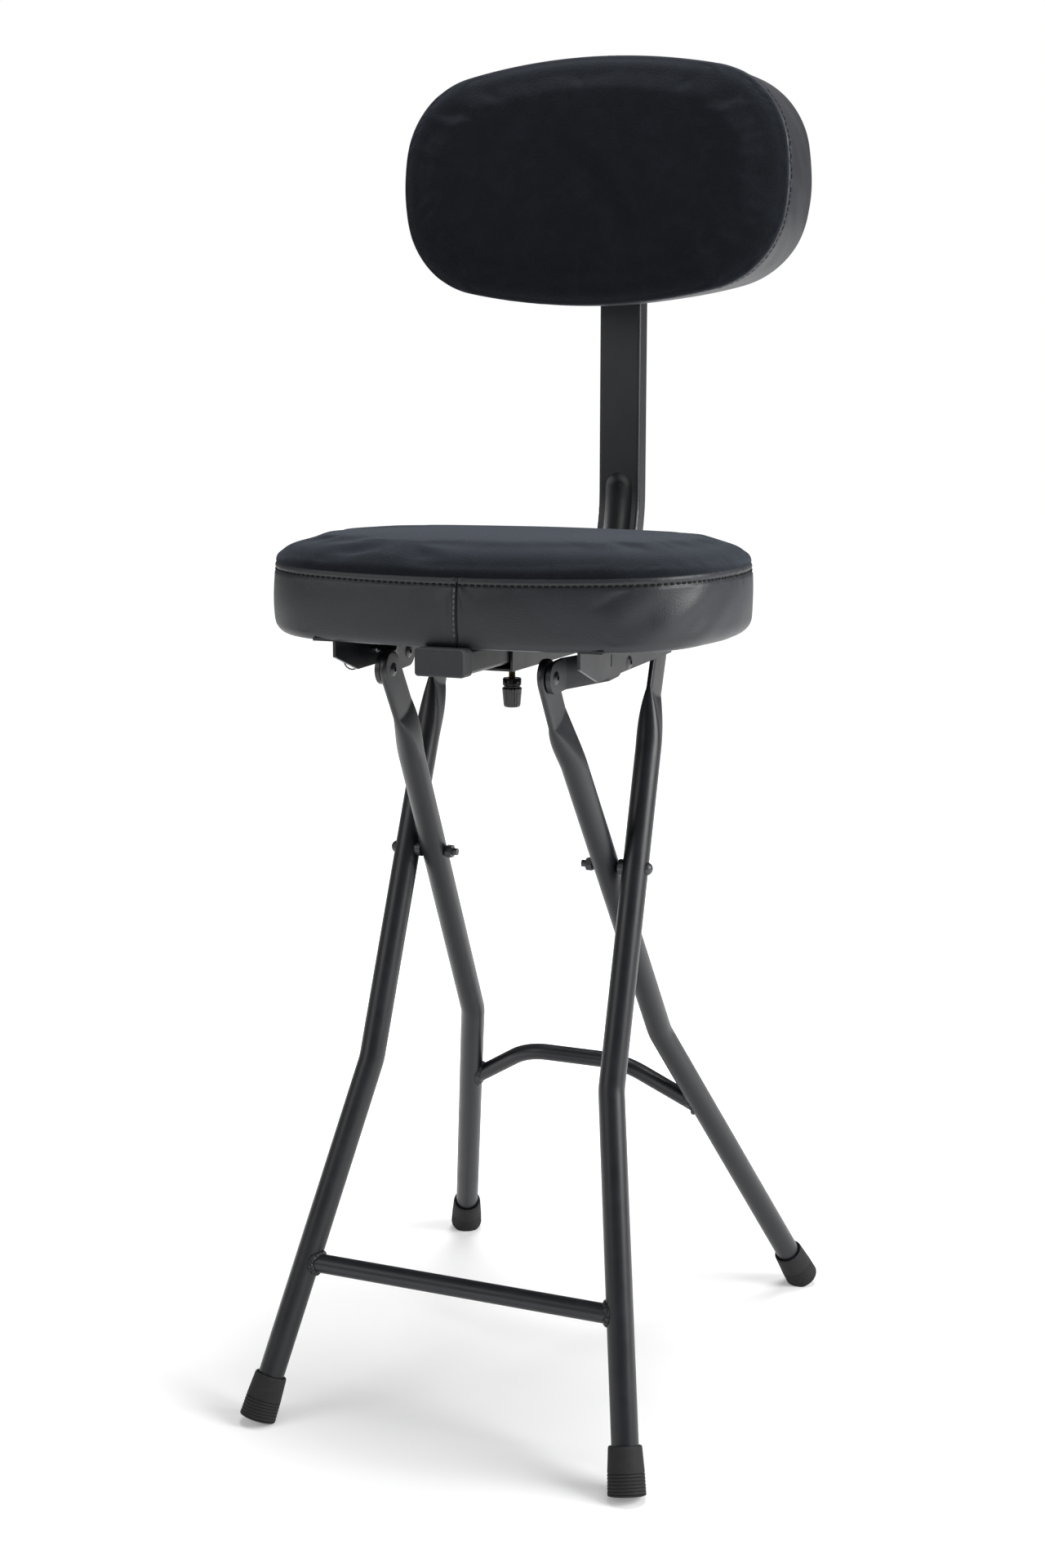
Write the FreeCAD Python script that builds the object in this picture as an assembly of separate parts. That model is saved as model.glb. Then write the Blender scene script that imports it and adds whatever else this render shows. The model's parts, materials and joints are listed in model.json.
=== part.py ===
"""Folding guitar stool: crossing leg frames, a padded seat that flips up and a sliding backrest."""
import FreeCAD, Part
import math
import os

V = FreeCAD.Vector
ORIGIN = V(0, 0, 0)
X_AXIS = V(1, 0, 0)
Y_AXIS = V(0, 1, 0)
Z_AXIS = V(0, 0, 1)

# Leg tubes; each frame is drawn flat and then leaned about the crossing axis
leg_diameter = 22.0
leg_wall = 1.5
bend_radius = 60.0
pivot_height = 467.0
bend_height = 294.5
front_lean_angle = 20.75
rear_lean_angle = 31.67
front_half_at_pivot = 105.2
front_half_at_floor = 166.9
front_slope = 0.0262
rear_half_at_pivot = 79.4
rear_half_at_floor = 182.4
rear_slope = 0.071

# Flattened leg tops
flat_width = 30.0
flat_length = 42.0
neck_length = 28.0
front_flat_thick = 4.9
rear_flat_thick = 6.0

# Crossbars
front_bar_diameter = 16.0
front_bar_height = 129.5
rear_bar_diameter = 15.0
rear_bar_height = 252.5
rear_bar_corner = 47.6
rear_bar_angle = 37.0
bar_wall = 1.2

# Rubber feet
foot_length = 38.0
foot_top_diameter = 27.0
foot_diameter = 31.0
foot_sole = 7.0
foot_flat = 2.6
foot_ribs = 6
foot_rib_spacing = 2.6
foot_rib_depth = 0.45

# Pivot bolts through the crossing legs
bolt_diameter = 6.0
bolt_head_diameter = 11.0
bolt_head_height = 4.2
pivot_spacer_diameter = 13.0
nut_width = 10.0
nut_height = 5.5
bolt_stub = 4.5

# Seat linkage
front_reach = 192.0
rear_reach = 200.0
link_length = 83.5
link_height = 25.0
link_thick = 4.0
link_joggle = 20.0
link_bend_radius = 7.0
rivet_diameter = 8.0
rivet_head_diameter = 11.0
rivet_head_height = 1.9
rivet_bore = 4.0

# Seat brackets
bracket_inside = 103.6
bracket_thick = 2.5
bracket_flange = 18.0
bracket_nose = 26.0
bracket_nose_height = 15.0
bracket_depth = 29.0
bracket_heel = 15.0
bracket_heel_depth = 24.5
bracket_spacer = 7.3
bracket_spacer_diameter = 13.0
slot_height = 10.0
slot_width = 2.0

# Seat pad
seat_pivot_depth = 16.45
seat_half_width = 195.0
seat_half_depth = 130.0
seat_centre = -14.0
seat_front_radius = 560.0
seat_side_radius = 230.0
seat_corner_radius = 84.0
seat_band = 54.0
seat_crown = 26.0
seat_board_thick = 12.0
board_inset = 10.0
cover_thick = 2.5
edge_tuck = 5.0
band_bulge = 2.0

# Backrest pad
back_half_width = 179.0
back_half_height = 107.0
back_rise = 374.0
back_long_radius = 560.0
back_side_radius = 170.0
back_corner_radius = 78.0
back_band = 77.0
back_crown = 17.0
back_board_thick = 10.0

# Backrest stem
stem_width = 40.0
stem_depth = 20.0
stem_wall = 1.5
stem_edge_radius = 3.0
stem_axis_depth = 11.7
stem_front = -156.0
stem_bend_radius = 115.0
stem_upright = 247.0
stem_overlap = 68.0
dent_radius = 17.0
dent_depth = 6.0
dent_overrun = 5.0
cap_width = 42.4
cap_height = 22.0
cap_length = 15.0
cap_face = 2.5
cap_edge_radius = 2.0
plug_head_height = 3.0
plug_skirt = 14.0
back_bolt_spread = 90.0
back_bolt_head_diameter = 11.0
back_bolt_head_height = 3.6

# Receiver channel and its clamp
receiver_front = -66.0
receiver_length = 140.0
receiver_wall = 2.0
receiver_gap_below = 4.4
receiver_flange = 15.0
clamp_place = -15.0
clamp_diameter = 6.0
clamp_nut_width = 10.0
clamp_nut_height = 5.2
stud_show = 6.7
knob_collar_diameter = 14.6
knob_collar_height = 8.0
knob_flange_diameter = 15.6
knob_flange_height = 3.4
knob_grip_top_diameter = 12.8
knob_grip_diameter = 11.8
knob_grip_height = 13.0
knob_flutes = 10
knob_flute_radius = 1.3
knob_insert = 14.0

# Sprung lock on the left bracket
lock_drop = 15.0
lock_pin_diameter = 6.0
lock_nose = 5.6
lock_housing_diameter = 12.0
lock_housing_length = 12.5
lock_chamber_diameter = 9.2
lock_end_wall = 1.5
lock_collar_diameter = 8.6
lock_collar = 1.5
lock_rod_diameter = 4.2
lock_rod_tail = 7.5
lock_eye = 2.8
spring_wire = 0.7
spring_turns = 4
ring_radius = 9.2
ring_wire = 1.6
ring_turn_angle = 30.0

# Screws
screw_diameter = 4.0
screw_head_diameter = 8.0
screw_head_height = 2.4
screw_length = 9.0

# Clearances
side_gap = 0.3
washer_gap = 1.0
running_gap = 0.06
fit_gap = 0.1
slide_gap = 0.4

parts = {}


def axis_cylinder(radius, start, end):
    """Solid cylinder between two points."""
    run = end - start
    return Part.makeCylinder(radius, run.Length, start, run)


def rounded_path(points, radius):
    """Wire of straight runs joined by tangent arcs of one radius."""
    edges = []
    start = points[0]
    for before, corner, after in zip(points, points[1:], points[2:]):
        back = (before - corner).normalize()
        ahead = (after - corner).normalize()
        half = back.getAngle(ahead) / 2
        reach = radius / math.tan(half)
        first = corner + back * reach
        last = corner + ahead * reach
        middle = corner + (back + ahead).normalize() * (radius / math.sin(half) - radius)
        edges.append(Part.makeLine(start, first))
        edges.append(Part.Arc(first, middle, last).toShape())
        start = last
    edges.append(Part.makeLine(start, points[-1]))
    return Part.Wire(edges)


def swept(path, section):
    """Solid made by carrying a closed section along a path."""
    return path.makePipeShell([section], True, False)


def round_tube(points, radius, outer_radius):
    """Round bar along a bent path."""
    direction = points[1] - points[0]
    ring = Part.Wire(Part.makeCircle(outer_radius, points[0], direction))
    if len(points) == 2:
        return axis_cylinder(outer_radius, points[0], points[1])
    return swept(rounded_path(points, radius), ring)


def rounded_rectangle(width, height, radius, place=ORIGIN, across=X_AXIS, up=Z_AXIS):
    """Closed wire of a rectangle with round corners, centred on a point."""
    half_w = width / 2 - radius
    half_h = height / 2 - radius
    edges = []
    centres = [(half_w, half_h), (-half_w, half_h), (-half_w, -half_h), (half_w, -half_h)]
    corners = []
    for quarter, (cx, cy) in enumerate(centres):
        arc = []
        for step in (0, 1, 2):
            angle = math.radians(90 * quarter + 45 * step)
            right = across * (cx + radius * math.cos(angle))
            arc.append(place + right + up * (cy + radius * math.sin(angle)))
        corners.append(arc)
    for arc, following in zip(corners, corners[1:] + corners[:1]):
        edges.append(Part.Arc(*arc).toShape())
        edges.append(Part.makeLine(arc[2], following[0]))
    return Part.Wire(edges)


def polygon_prism(points, along):
    """Solid made by pushing a closed polygon along a vector."""
    return Part.Face(Part.makePolygon(points + points[:1])).extrude(along)


def hexagon_prism(width, start, along):
    """Hexagonal bar of a given width across flats."""
    reach = width / math.sqrt(3)
    side = along.cross(Z_AXIS if abs(along.z) < abs(along.x) + abs(along.y) else X_AXIS).normalize()
    other = along.cross(side).normalize()
    corners = []
    for step in range(6):
        angle = math.radians(60 * step)
        corners.append(start + side * (reach * math.cos(angle)) + other * (reach * math.sin(angle)))
    return polygon_prism(corners, along)


def turned(profile, place=ORIGIN, direction=Z_AXIS):
    """Solid of revolution of (radius, height) points about a line."""
    points = [V(r, 0, h) for r, h in profile]
    face = Part.Face(Part.makePolygon(points + points[:1]))
    solid = face.revolve(ORIGIN, Z_AXIS, 360)
    solid.Placement = FreeCAD.Placement(place, FreeCAD.Rotation(Z_AXIS, direction))
    return solid


def domed(radius, height, place, direction):
    """Low dome of a given radius and height standing on a point."""
    ball = (radius * radius + height * height) / (2 * height)
    dome = Part.makeSphere(ball, place - direction * (ball - height))
    return dome.common(axis_cylinder(radius, place, place + direction * (2 * height)))


def mirrored(shape):
    """The same piece on the other side of the middle plane."""
    return shape.mirror(ORIGIN, X_AXIS)


def pair(shape):
    """A right-hand piece and its mirror image as one group."""
    return Part.makeCompound([shape, mirrored(shape)])


class LegFrame:
    """Two mirror-image legs drawn flat in X and Z about the crossing axis, then leaned."""

    def __init__(self, lean, half_at_pivot, slope, half_at_floor, reach, flat_middle, flat_thick):
        self.lean = lean
        self.rise = math.cos(math.radians(lean))
        self.half_at_pivot = half_at_pivot
        self.slope = slope * self.rise
        self.reach = reach
        self.flat_middle = flat_middle
        self.flat_thick = flat_thick
        bend = (bend_height - pivot_height) / self.rise
        self.bend = V(self.half(bend), 0, bend)
        self.floor = V(half_at_floor, 0, -pivot_height / self.rise)
        self.lower = (self.floor - self.bend).normalize()
        drop = -self.lower.z * self.rise
        tilt = math.acos(drop)
        edge_drop = foot_diameter / 2 * math.sin(tilt) - foot_flat
        self.foot_end = self.floor - self.lower * (edge_drop / drop)
        self.tube_end = self.foot_end - self.lower * foot_sole

    def half(self, up):
        """Distance of the upper leg's centre line from the middle plane."""
        return self.half_at_pivot - self.slope * up

    def half_at_height(self, height):
        """Point of the lower leg's centre line at a height above the floor."""
        up = (height - pivot_height) / self.rise
        share = (up - self.bend.z) / (self.floor.z - self.bend.z)
        return self.bend + (self.floor - self.bend) * share

    def stand(self, shape):
        """Lean a flat shape about the crossing axis and lift it to its height."""
        shape.rotate(ORIGIN, X_AXIS, -self.lean)
        shape.translate(V(0, 0, pivot_height))
        return shape

    def flat_section(self, height):
        """Section of the flattened top: straight sides with round edges."""
        half = flat_width / 2 - self.flat_thick / 2
        thick = self.flat_thick / 2
        middle = V(self.flat_middle, 0, height)
        front = middle - Y_AXIS * half
        back = middle + Y_AXIS * half
        side = X_AXIS * thick
        return Part.Wire([
            Part.makeLine(front + side, back + side),
            Part.Arc(back + side, back + Y_AXIS * thick, back - side).toShape(),
            Part.makeLine(back - side, front - side),
            Part.Arc(front - side, front - Y_AXIS * thick, front + side).toShape(),
        ])

    def round_section(self, height, radius):
        """Tube section cut into four arcs that answer the flat section's four edges."""
        middle = V(self.half(height), 0, height)
        across = V(1, 0, self.slope).normalize()
        spread = math.radians(68)
        angles = [-spread, 0, spread, math.pi / 2, math.pi - spread, math.pi, math.pi + spread, -math.pi / 2]
        points = [middle + across * (radius * math.cos(a)) + Y_AXIS * (radius * math.sin(a)) for a in angles]
        return Part.Wire([
            Part.Arc(points[0], points[1], points[2]).toShape(),
            Part.Arc(points[2], points[3], points[4]).toShape(),
            Part.Arc(points[4], points[5], points[6]).toShape(),
            Part.Arc(points[6], points[7], points[0]).toShape(),
        ])

    def tube(self, radius, above=0.0, below=0.0):
        """Round bent part of the right-hand leg as a bar of a given radius."""
        top = self.reach - flat_length - neck_length + above
        start = V(self.half(top), 0, top)
        end = self.tube_end + self.lower * below
        return round_tube([start, self.bend, end], bend_radius, radius)

    def leg(self):
        """Right-hand leg: hollow tube, creased neck and flattened top with its rivet hole."""
        neck_low = self.reach - flat_length - neck_length
        flat_low = self.reach - flat_length
        lip = 0.5
        sections = [self.round_section(neck_low, leg_diameter / 2), self.flat_section(flat_low)]
        neck = Part.makeLoft(sections, True, True)
        top = Part.Face(self.flat_section(flat_low)).extrude(Z_AXIS * (flat_length + flat_width))
        depth = self.flat_thick + 2 * lip
        eye = V(self.flat_middle - depth / 2, 0, self.reach)
        blank = Part.makeBox(depth, flat_width, flat_length, V(eye.x, -flat_width / 2, flat_low))
        rounded_end = blank.fuse(Part.makeCylinder(flat_width / 2, depth, eye, X_AXIS))
        leg = self.tube(leg_diameter / 2).fuse([neck, top.common(rounded_end)])
        bore = self.tube(leg_diameter / 2 - leg_wall, -lip, lip)
        pin_hole = Part.makeCylinder(bolt_diameter / 2 + running_gap, 4 * leg_diameter,
                                     V(self.half_at_pivot - 2 * leg_diameter, 0, 0), X_AXIS)
        rivet_hole = Part.makeCylinder(rivet_diameter / 2 + running_gap, depth, eye, X_AXIS)
        return leg.cut([bore, pin_hole, rivet_hole])

    def foot(self):
        """Right-hand rubber foot: tapered cup with ring ribs, worn flat where it meets the floor."""
        radius = foot_diameter / 2
        edge = 1.5
        rib_top = edge + foot_ribs * foot_rib_spacing
        profile = [(0, 0), (radius - edge, 0)]
        for rib in range(foot_ribs):
            height = edge + rib * foot_rib_spacing
            profile.append((radius, height))
            profile.append((radius - foot_rib_depth, height + 0.7 * foot_rib_spacing))
        profile.append((radius - foot_rib_depth, rib_top))
        cup = leg_diameter / 2 + fit_gap
        profile += [(foot_top_diameter / 2, foot_length), (cup, foot_length)]
        profile += [(cup, foot_sole), (0, foot_sole)]
        foot = self.stand(turned(profile, self.foot_end, self.lower * -1))
        room = 4 * foot_length
        middle = foot.BoundBox.Center
        corner = V(middle.x - room / 2, middle.y - room / 2, 0)
        return foot.common(Part.makeBox(room, room, room, corner)).Solids[0]

    def bar(self, points, diameter):
        """Hollow crossbar with its ends mitred to the two legs."""
        outer = round_tube(points, bend_radius, diameter / 2)
        inner = round_tube(points, bend_radius, diameter / 2 - bar_wall)
        leg = self.tube(leg_diameter / 2)
        return self.stand(outer.cut([inner, leg, mirrored(leg)]))


def tangent_oval(half_a, half_b, radius_a, radius_b, corner, place, across, up):
    """Closed outline of long arcs, side arcs and corner arcs that all meet smoothly."""
    long_centre = half_b - radius_a
    side_centre = half_a - radius_b
    gap = math.hypot(side_centre, long_centre)
    to_long = radius_a - corner
    to_side = radius_b - corner
    along = (to_long ** 2 - to_side ** 2 + gap ** 2) / (2 * gap)
    off = math.sqrt(to_long ** 2 - along ** 2)
    unit_a = side_centre / gap
    unit_b = -long_centre / gap
    centre_a = unit_a * along + unit_b * off
    centre_b = long_centre + unit_b * along - unit_a * off
    if centre_b < 0:
        centre_a = unit_a * along - unit_b * off
        centre_b = long_centre + unit_b * along + unit_a * off
    long_angle = math.atan2(centre_b - long_centre, centre_a)
    side_angle = math.atan2(centre_b, centre_a - side_centre)

    def arc(ca, cb, radius, start, end):
        points = []
        for angle in (start, (start + end) / 2, end):
            right = across * (ca + radius * math.cos(angle))
            points.append(place + right + up * (cb + radius * math.sin(angle)))
        return Part.Arc(*points).toShape()

    half_turn = math.pi
    return Part.Wire([
        arc(side_centre, 0, radius_b, -side_angle, side_angle),
        arc(centre_a, centre_b, corner, side_angle, long_angle),
        arc(0, long_centre, radius_a, long_angle, half_turn - long_angle),
        arc(-centre_a, centre_b, corner, half_turn - long_angle, half_turn - side_angle),
        arc(-side_centre, 0, radius_b, half_turn - side_angle, half_turn + side_angle),
        arc(-centre_a, -centre_b, corner, half_turn + side_angle, half_turn + long_angle),
        arc(0, -long_centre, radius_a, half_turn + long_angle, 2 * half_turn - long_angle),
        arc(centre_a, -centre_b, corner, -long_angle, -side_angle),
    ])


class Pad:
    """Upholstered pad: board, banded side and crowned top, built up along its own normal."""

    def __init__(self, sizes, band, crown, board_thick, base, across, up, normal):
        self.sizes = sizes
        self.band = band
        self.crown = crown
        self.board_thick = board_thick
        self.base = base
        self.across = across
        self.up = up
        self.normal = normal

    def outline(self, inset, height):
        """Pad outline pulled in by an inset, at a height above the board's underside."""
        sizes = [size - inset for size in self.sizes]
        return tangent_oval(*sizes, self.base + self.normal * height, self.across, self.up)

    def board(self):
        """Plywood board that carries the pad."""
        return Part.Face(self.outline(board_inset, 0)).extrude(self.normal * self.board_thick)

    def bulged(self, inset):
        """Block from the underside up to the seam, with a tucked lower edge and a slight bulge."""
        edges = [(edge_tuck + cover_thick, 0), (cover_thick, 0.1), (-band_bulge, 0.5), (0, 1)]
        wires = [self.outline(inset + tuck, share * self.band) for tuck, share in edges]
        return Part.makeLoft(wires, True, False)

    def side(self):
        """Cover band from the underside up to the seam."""
        return self.bulged(0).cut(self.bulged(cover_thick))

    def foam(self):
        """Foam block inside the band, resting on the board."""
        below = Part.Face(self.outline(0, 0)).extrude(self.normal * self.board_thick)
        return self.bulged(cover_thick + fit_gap).cut(below)

    def top(self):
        """Crowned panel above the seam."""
        corner = self.sizes[-1]
        rises = [(0, 0), (0.055, 0.34), (0.24, 0.7), (0.55, 0.93), (0.86, 1)]
        wires = [self.outline(inset * corner, self.band + rise * self.crown) for inset, rise in rises]
        return Part.makeLoft(wires, True, False)


# Key points of the linkage, seen from the side
plate_outside = bracket_inside + bracket_thick
front_flat_middle = bracket_inside - side_gap - front_flat_thick / 2
link_outside = bracket_inside - bracket_spacer - side_gap
link_inside_low = link_outside - link_joggle - link_thick
rear_flat_middle = link_inside_low - washer_gap - rear_flat_thick / 2

front = LegFrame(front_lean_angle, front_half_at_pivot, front_slope, front_half_at_floor,
                 front_reach, front_flat_middle, front_flat_thick)
rear = LegFrame(-rear_lean_angle, rear_half_at_pivot, rear_slope, rear_half_at_floor,
                rear_reach, rear_flat_middle, rear_flat_thick)


def side_point(frame, reach):
    """Point up a leg frame, in the middle plane."""
    angle = math.radians(frame.lean)
    return V(0, reach * math.sin(angle), pivot_height + reach * math.cos(angle))


crossing = V(0, 0, pivot_height)
seat_pivot = side_point(front, front_reach)
link_pivot = side_point(rear, rear_reach)
link_run = (seat_pivot - link_pivot).normalize()
bracket_pivot = link_pivot + link_run * link_length

# Heights that follow the linkage
seat_bottom = seat_pivot.z + seat_pivot_depth
stem_axis_height = seat_bottom - stem_axis_depth
back_centre_height = seat_bottom + back_rise
stem_top = back_centre_height + stem_overlap
lock_point = V(0, (link_pivot.y + bracket_pivot.y) / 2, seat_bottom - lock_drop)

# Leg frames
for name, frame in (("front", front), ("rear", rear)):
    leg = frame.stand(frame.leg())
    foot = frame.foot()
    parts[name + "_leg_right"] = leg
    parts[name + "_leg_left"] = mirrored(leg)
    parts[name + "_foot_right"] = foot
    parts[name + "_foot_left"] = mirrored(foot)

front_bar_end = front.half_at_height(front_bar_height)
front_bar_start = V(-front_bar_end.x, 0, front_bar_end.z)
parts["front_crossbar"] = front.bar([front_bar_start, front_bar_end], front_bar_diameter)

rear_bar_up = (rear_bar_height - pivot_height) / rear.rise
drop_slope = math.tan(math.radians(rear_bar_angle))
lower_slope = rear.lower.x / rear.lower.z
leg_at_bar = rear.bend.x + lower_slope * (rear_bar_up - rear.bend.z)
rear_bar_reach = (leg_at_bar - rear_bar_corner) / (1 + lower_slope * drop_slope)
rear_bar_end = V(rear_bar_corner + rear_bar_reach, 0, rear_bar_up - rear_bar_reach * drop_slope)
rear_bar_turn = V(rear_bar_corner, 0, rear_bar_up)
rear_bar_points = [V(-p.x, 0, p.z) for p in (rear_bar_end, rear_bar_turn)]
parts["rear_crossbar"] = rear.bar(rear_bar_points + [rear_bar_turn, rear_bar_end], rear_bar_diameter)


# Pivot bolts, spacers and nuts at the crossing axis
def crossing_pieces():
    """Right-hand bolt, spacer and nut, seated against the crossing tubes."""
    radius = leg_diameter / 2
    out_face = front_half_at_pivot + radius
    in_face = rear_half_at_pivot - radius
    tilt_room = pivot_spacer_diameter / 2 * rear_slope
    nut_face = in_face - side_gap - tilt_room
    stub_end = nut_face - nut_height - bolt_stub
    front_tube = front.stand(front.tube(radius + fit_gap / 2))

    def at(x):
        return V(x, 0, pivot_height)

    shank = axis_cylinder(bolt_diameter / 2, at(stub_end), at(out_face))
    head = axis_cylinder(bolt_head_diameter / 2, at(front_half_at_pivot), at(out_face))
    dome = domed(bolt_head_diameter / 2, bolt_head_height, at(out_face), X_AXIS)
    bolt = shank.fuse(head.fuse(dome).cut(front_tube))
    spacer_start = rear_half_at_pivot + radius + side_gap + tilt_room
    spacer = axis_cylinder(pivot_spacer_diameter / 2, at(spacer_start), at(front_half_at_pivot))
    hole = axis_cylinder(bolt_diameter / 2 + fit_gap, at(stub_end - 1), at(out_face))
    spacer = spacer.cut([front_tube, hole])
    nut = hexagon_prism(nut_width, at(nut_face), X_AXIS * -nut_height)
    return bolt, spacer, nut.cut(hole)


bolt, spacer, nut = crossing_pieces()
parts["pivot_bolts"] = pair(bolt)
parts["pivot_spacers"] = pair(spacer)
parts["pivot_nuts"] = pair(nut)


# Links between the rear legs and the seat brackets
def link():
    """Right-hand link: flat strip with round ends, set over sideways between its two eyes."""
    half = link_height / 2
    inside_low = link_inside_low
    inside_high = inside_low + link_joggle
    step_start = 0.24 * link_length
    step_end = 0.76 * link_length
    reach = link_length + half
    inner = [(inside_low, -half), (inside_low, step_start), (inside_high, step_end), (inside_high, reach)]
    outer = [(x + link_thick, y) for x, y in reversed(inner)]
    strip = polygon_prism([V(x, y, -half) for x, y in inner + outer], Z_AXIS * link_height)
    bends = []
    for edge in strip.Edges:
        middle = edge.CenterOfMass
        upright = abs(edge.tangentAt(edge.FirstParameter).z) > 0.99
        if upright and (abs(middle.y - step_start) < 1e-3 or abs(middle.y - step_end) < 1e-3):
            bends.append(edge)
    strip = strip.makeFillet(link_bend_radius, bends)
    width = link_outside - inside_low
    low_eye = V(inside_low, 0, 0)
    high_eye = V(inside_low, link_length, 0)
    outline = Part.makeBox(width, link_length, link_height, V(inside_low, 0, -half))
    outline = outline.fuse([Part.makeCylinder(half, width, eye, X_AXIS) for eye in (low_eye, high_eye)])
    hole = rivet_diameter / 2 + running_gap
    holes = [Part.makeCylinder(hole, width, eye, X_AXIS) for eye in (low_eye, high_eye)]
    strip = strip.common(outline).cut(holes)
    strip.rotate(ORIGIN, X_AXIS, math.degrees(math.atan2(link_run.z, link_run.y)))
    strip.translate(link_pivot)
    return strip


right_link = link()
parts["seat_link_right"] = right_link
parts["seat_link_left"] = mirrored(right_link)


# Rivets
def rivet(place, start, end, head_at_start, head_at_end):
    """Hollow rivet along X from one face to another, with a rolled head at the chosen ends."""
    here = V(start, place.y, place.z)
    there = V(end, place.y, place.z)
    solid = axis_cylinder(rivet_diameter / 2, here, there)
    way = (there - here).normalize()
    head = rivet_head_diameter / 2
    if head_at_start:
        solid = solid.fuse(domed(head, rivet_head_height, here, way * -1))
    if head_at_end:
        solid = solid.fuse(domed(head, rivet_head_height, there, way))
    bore = axis_cylinder(rivet_bore / 2, here - way * rivet_head_diameter, there + way * rivet_head_diameter)
    return solid.cut(bore)


rear_flat_inside = rear_flat_middle - rear_flat_thick / 2
rear_flat_outside = rear_flat_middle + rear_flat_thick / 2
front_flat_inside = front_flat_middle - front_flat_thick / 2
link_outside_low = link_inside_low + link_thick
link_inside = link_outside - link_thick
parts["rear_leg_rivets"] = pair(rivet(link_pivot, rear_flat_inside, rear_flat_outside, True, False))
parts["link_rivets"] = pair(rivet(link_pivot, link_inside_low, link_outside_low, False, True))
parts["seat_pivot_rivets"] = pair(rivet(seat_pivot, front_flat_inside - side_gap, plate_outside, True, True))
parts["bracket_rivets"] = pair(rivet(bracket_pivot, link_inside - side_gap, plate_outside, True, True))
spacer_start = V(bracket_inside - bracket_spacer, bracket_pivot.y, bracket_pivot.z)
spacer_end = V(bracket_inside, bracket_pivot.y, bracket_pivot.z)
bush = axis_cylinder(bracket_spacer_diameter / 2, spacer_start, spacer_end)
bush = bush.cut(axis_cylinder(rivet_diameter / 2 + fit_gap, spacer_start, spacer_end))
parts["bracket_spacers"] = pair(bush)


# Seat brackets
def bracket():
    """Right-hand bracket: five-sided plate with a flange turned outwards under the seat."""
    nose = link_pivot.y - bracket_nose
    heel = seat_pivot.y + bracket_heel
    outline = [
        (nose, seat_bottom),
        (nose, seat_bottom - bracket_nose_height),
        (link_pivot.y + bracket_nose / 2, seat_bottom - bracket_depth),
        (heel, seat_bottom - bracket_heel_depth),
        (heel, seat_bottom),
    ]
    plate = polygon_prism([V(bracket_inside, y, z) for y, z in outline], X_AXIS * bracket_thick)
    flange = Part.makeBox(bracket_flange, heel - nose, bracket_thick,
                          V(plate_outside, nose, seat_bottom - bracket_thick))
    holes = []
    for place in (seat_pivot, bracket_pivot):
        start = V(bracket_inside, place.y, place.z)
        holes.append(Part.makeCylinder(rivet_diameter / 2 + fit_gap, bracket_thick, start, X_AXIS))
    for place in bracket_screw_places():
        start = place - Z_AXIS * bracket_thick
        holes.append(Part.makeCylinder(screw_diameter / 2 + fit_gap, bracket_thick, start, Z_AXIS))
    return plate.fuse(flange).cut(holes)


def bracket_screw_places():
    """Screw centres on the flange's top face."""
    nose = link_pivot.y - bracket_nose
    heel = seat_pivot.y + bracket_heel
    middle = plate_outside + bracket_flange / 2
    run = heel - nose
    return [V(middle, nose + share * run, seat_bottom) for share in (0.16, 0.5, 0.84)]


def screw(place, head_below):
    """Pan-head wood screw driven up, its head under a sheet of given thickness."""
    under = place - Z_AXIS * head_below
    shank = axis_cylinder(screw_diameter / 2, under, place + Z_AXIS * screw_length)
    return shank.fuse(domed(screw_head_diameter / 2, screw_head_height, under, Z_AXIS * -1))


right_bracket = bracket()
left_bracket = mirrored(right_bracket)
slot = Part.makeBox(bracket_thick, slot_width, slot_height,
                    V(bracket_inside, lock_point.y - slot_width / 2, lock_point.z - slot_height / 2))
lock_hole = Part.makeCylinder(lock_pin_diameter / 2 + running_gap, bracket_thick,
                              V(-plate_outside, lock_point.y, lock_point.z), X_AXIS)
parts["seat_bracket_right"] = right_bracket.cut(slot)
parts["seat_bracket_left"] = left_bracket.cut(lock_hole)
bracket_screws = [screw(place, bracket_thick) for place in bracket_screw_places()]
parts["bracket_screws"] = pair(Part.makeCompound(bracket_screws))

# Seat pad
seat_sizes = (seat_half_width, seat_half_depth, seat_front_radius, seat_side_radius, seat_corner_radius)
seat = Pad(seat_sizes, seat_band, seat_crown, seat_board_thick,
           V(0, seat_centre, seat_bottom), X_AXIS, Y_AXIS, Z_AXIS)
receiver_outside = stem_width / 2 + slide_gap + receiver_wall
receiver_screw_x = receiver_outside + receiver_flange / 2
receiver_screw_places = []
for share in (0.15, 0.85):
    for side in (-1, 1):
        place = V(side * receiver_screw_x, receiver_front + share * receiver_length, seat_bottom)
        receiver_screw_places.append(place)
screw_places = bracket_screw_places() + receiver_screw_places
screw_places += [V(-place.x, place.y, place.z) for place in bracket_screw_places()]
screw_hole = screw_diameter / 2 + fit_gap
screw_holes = [Part.makeCylinder(screw_hole, screw_length + fit_gap, place, Z_AXIS) for place in screw_places]
parts["seat_board"] = seat.board().cut(screw_holes)
parts["seat_side_band"] = seat.side()
parts["seat_foam"] = seat.foam()
parts["seat_top_pad"] = seat.top()


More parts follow.
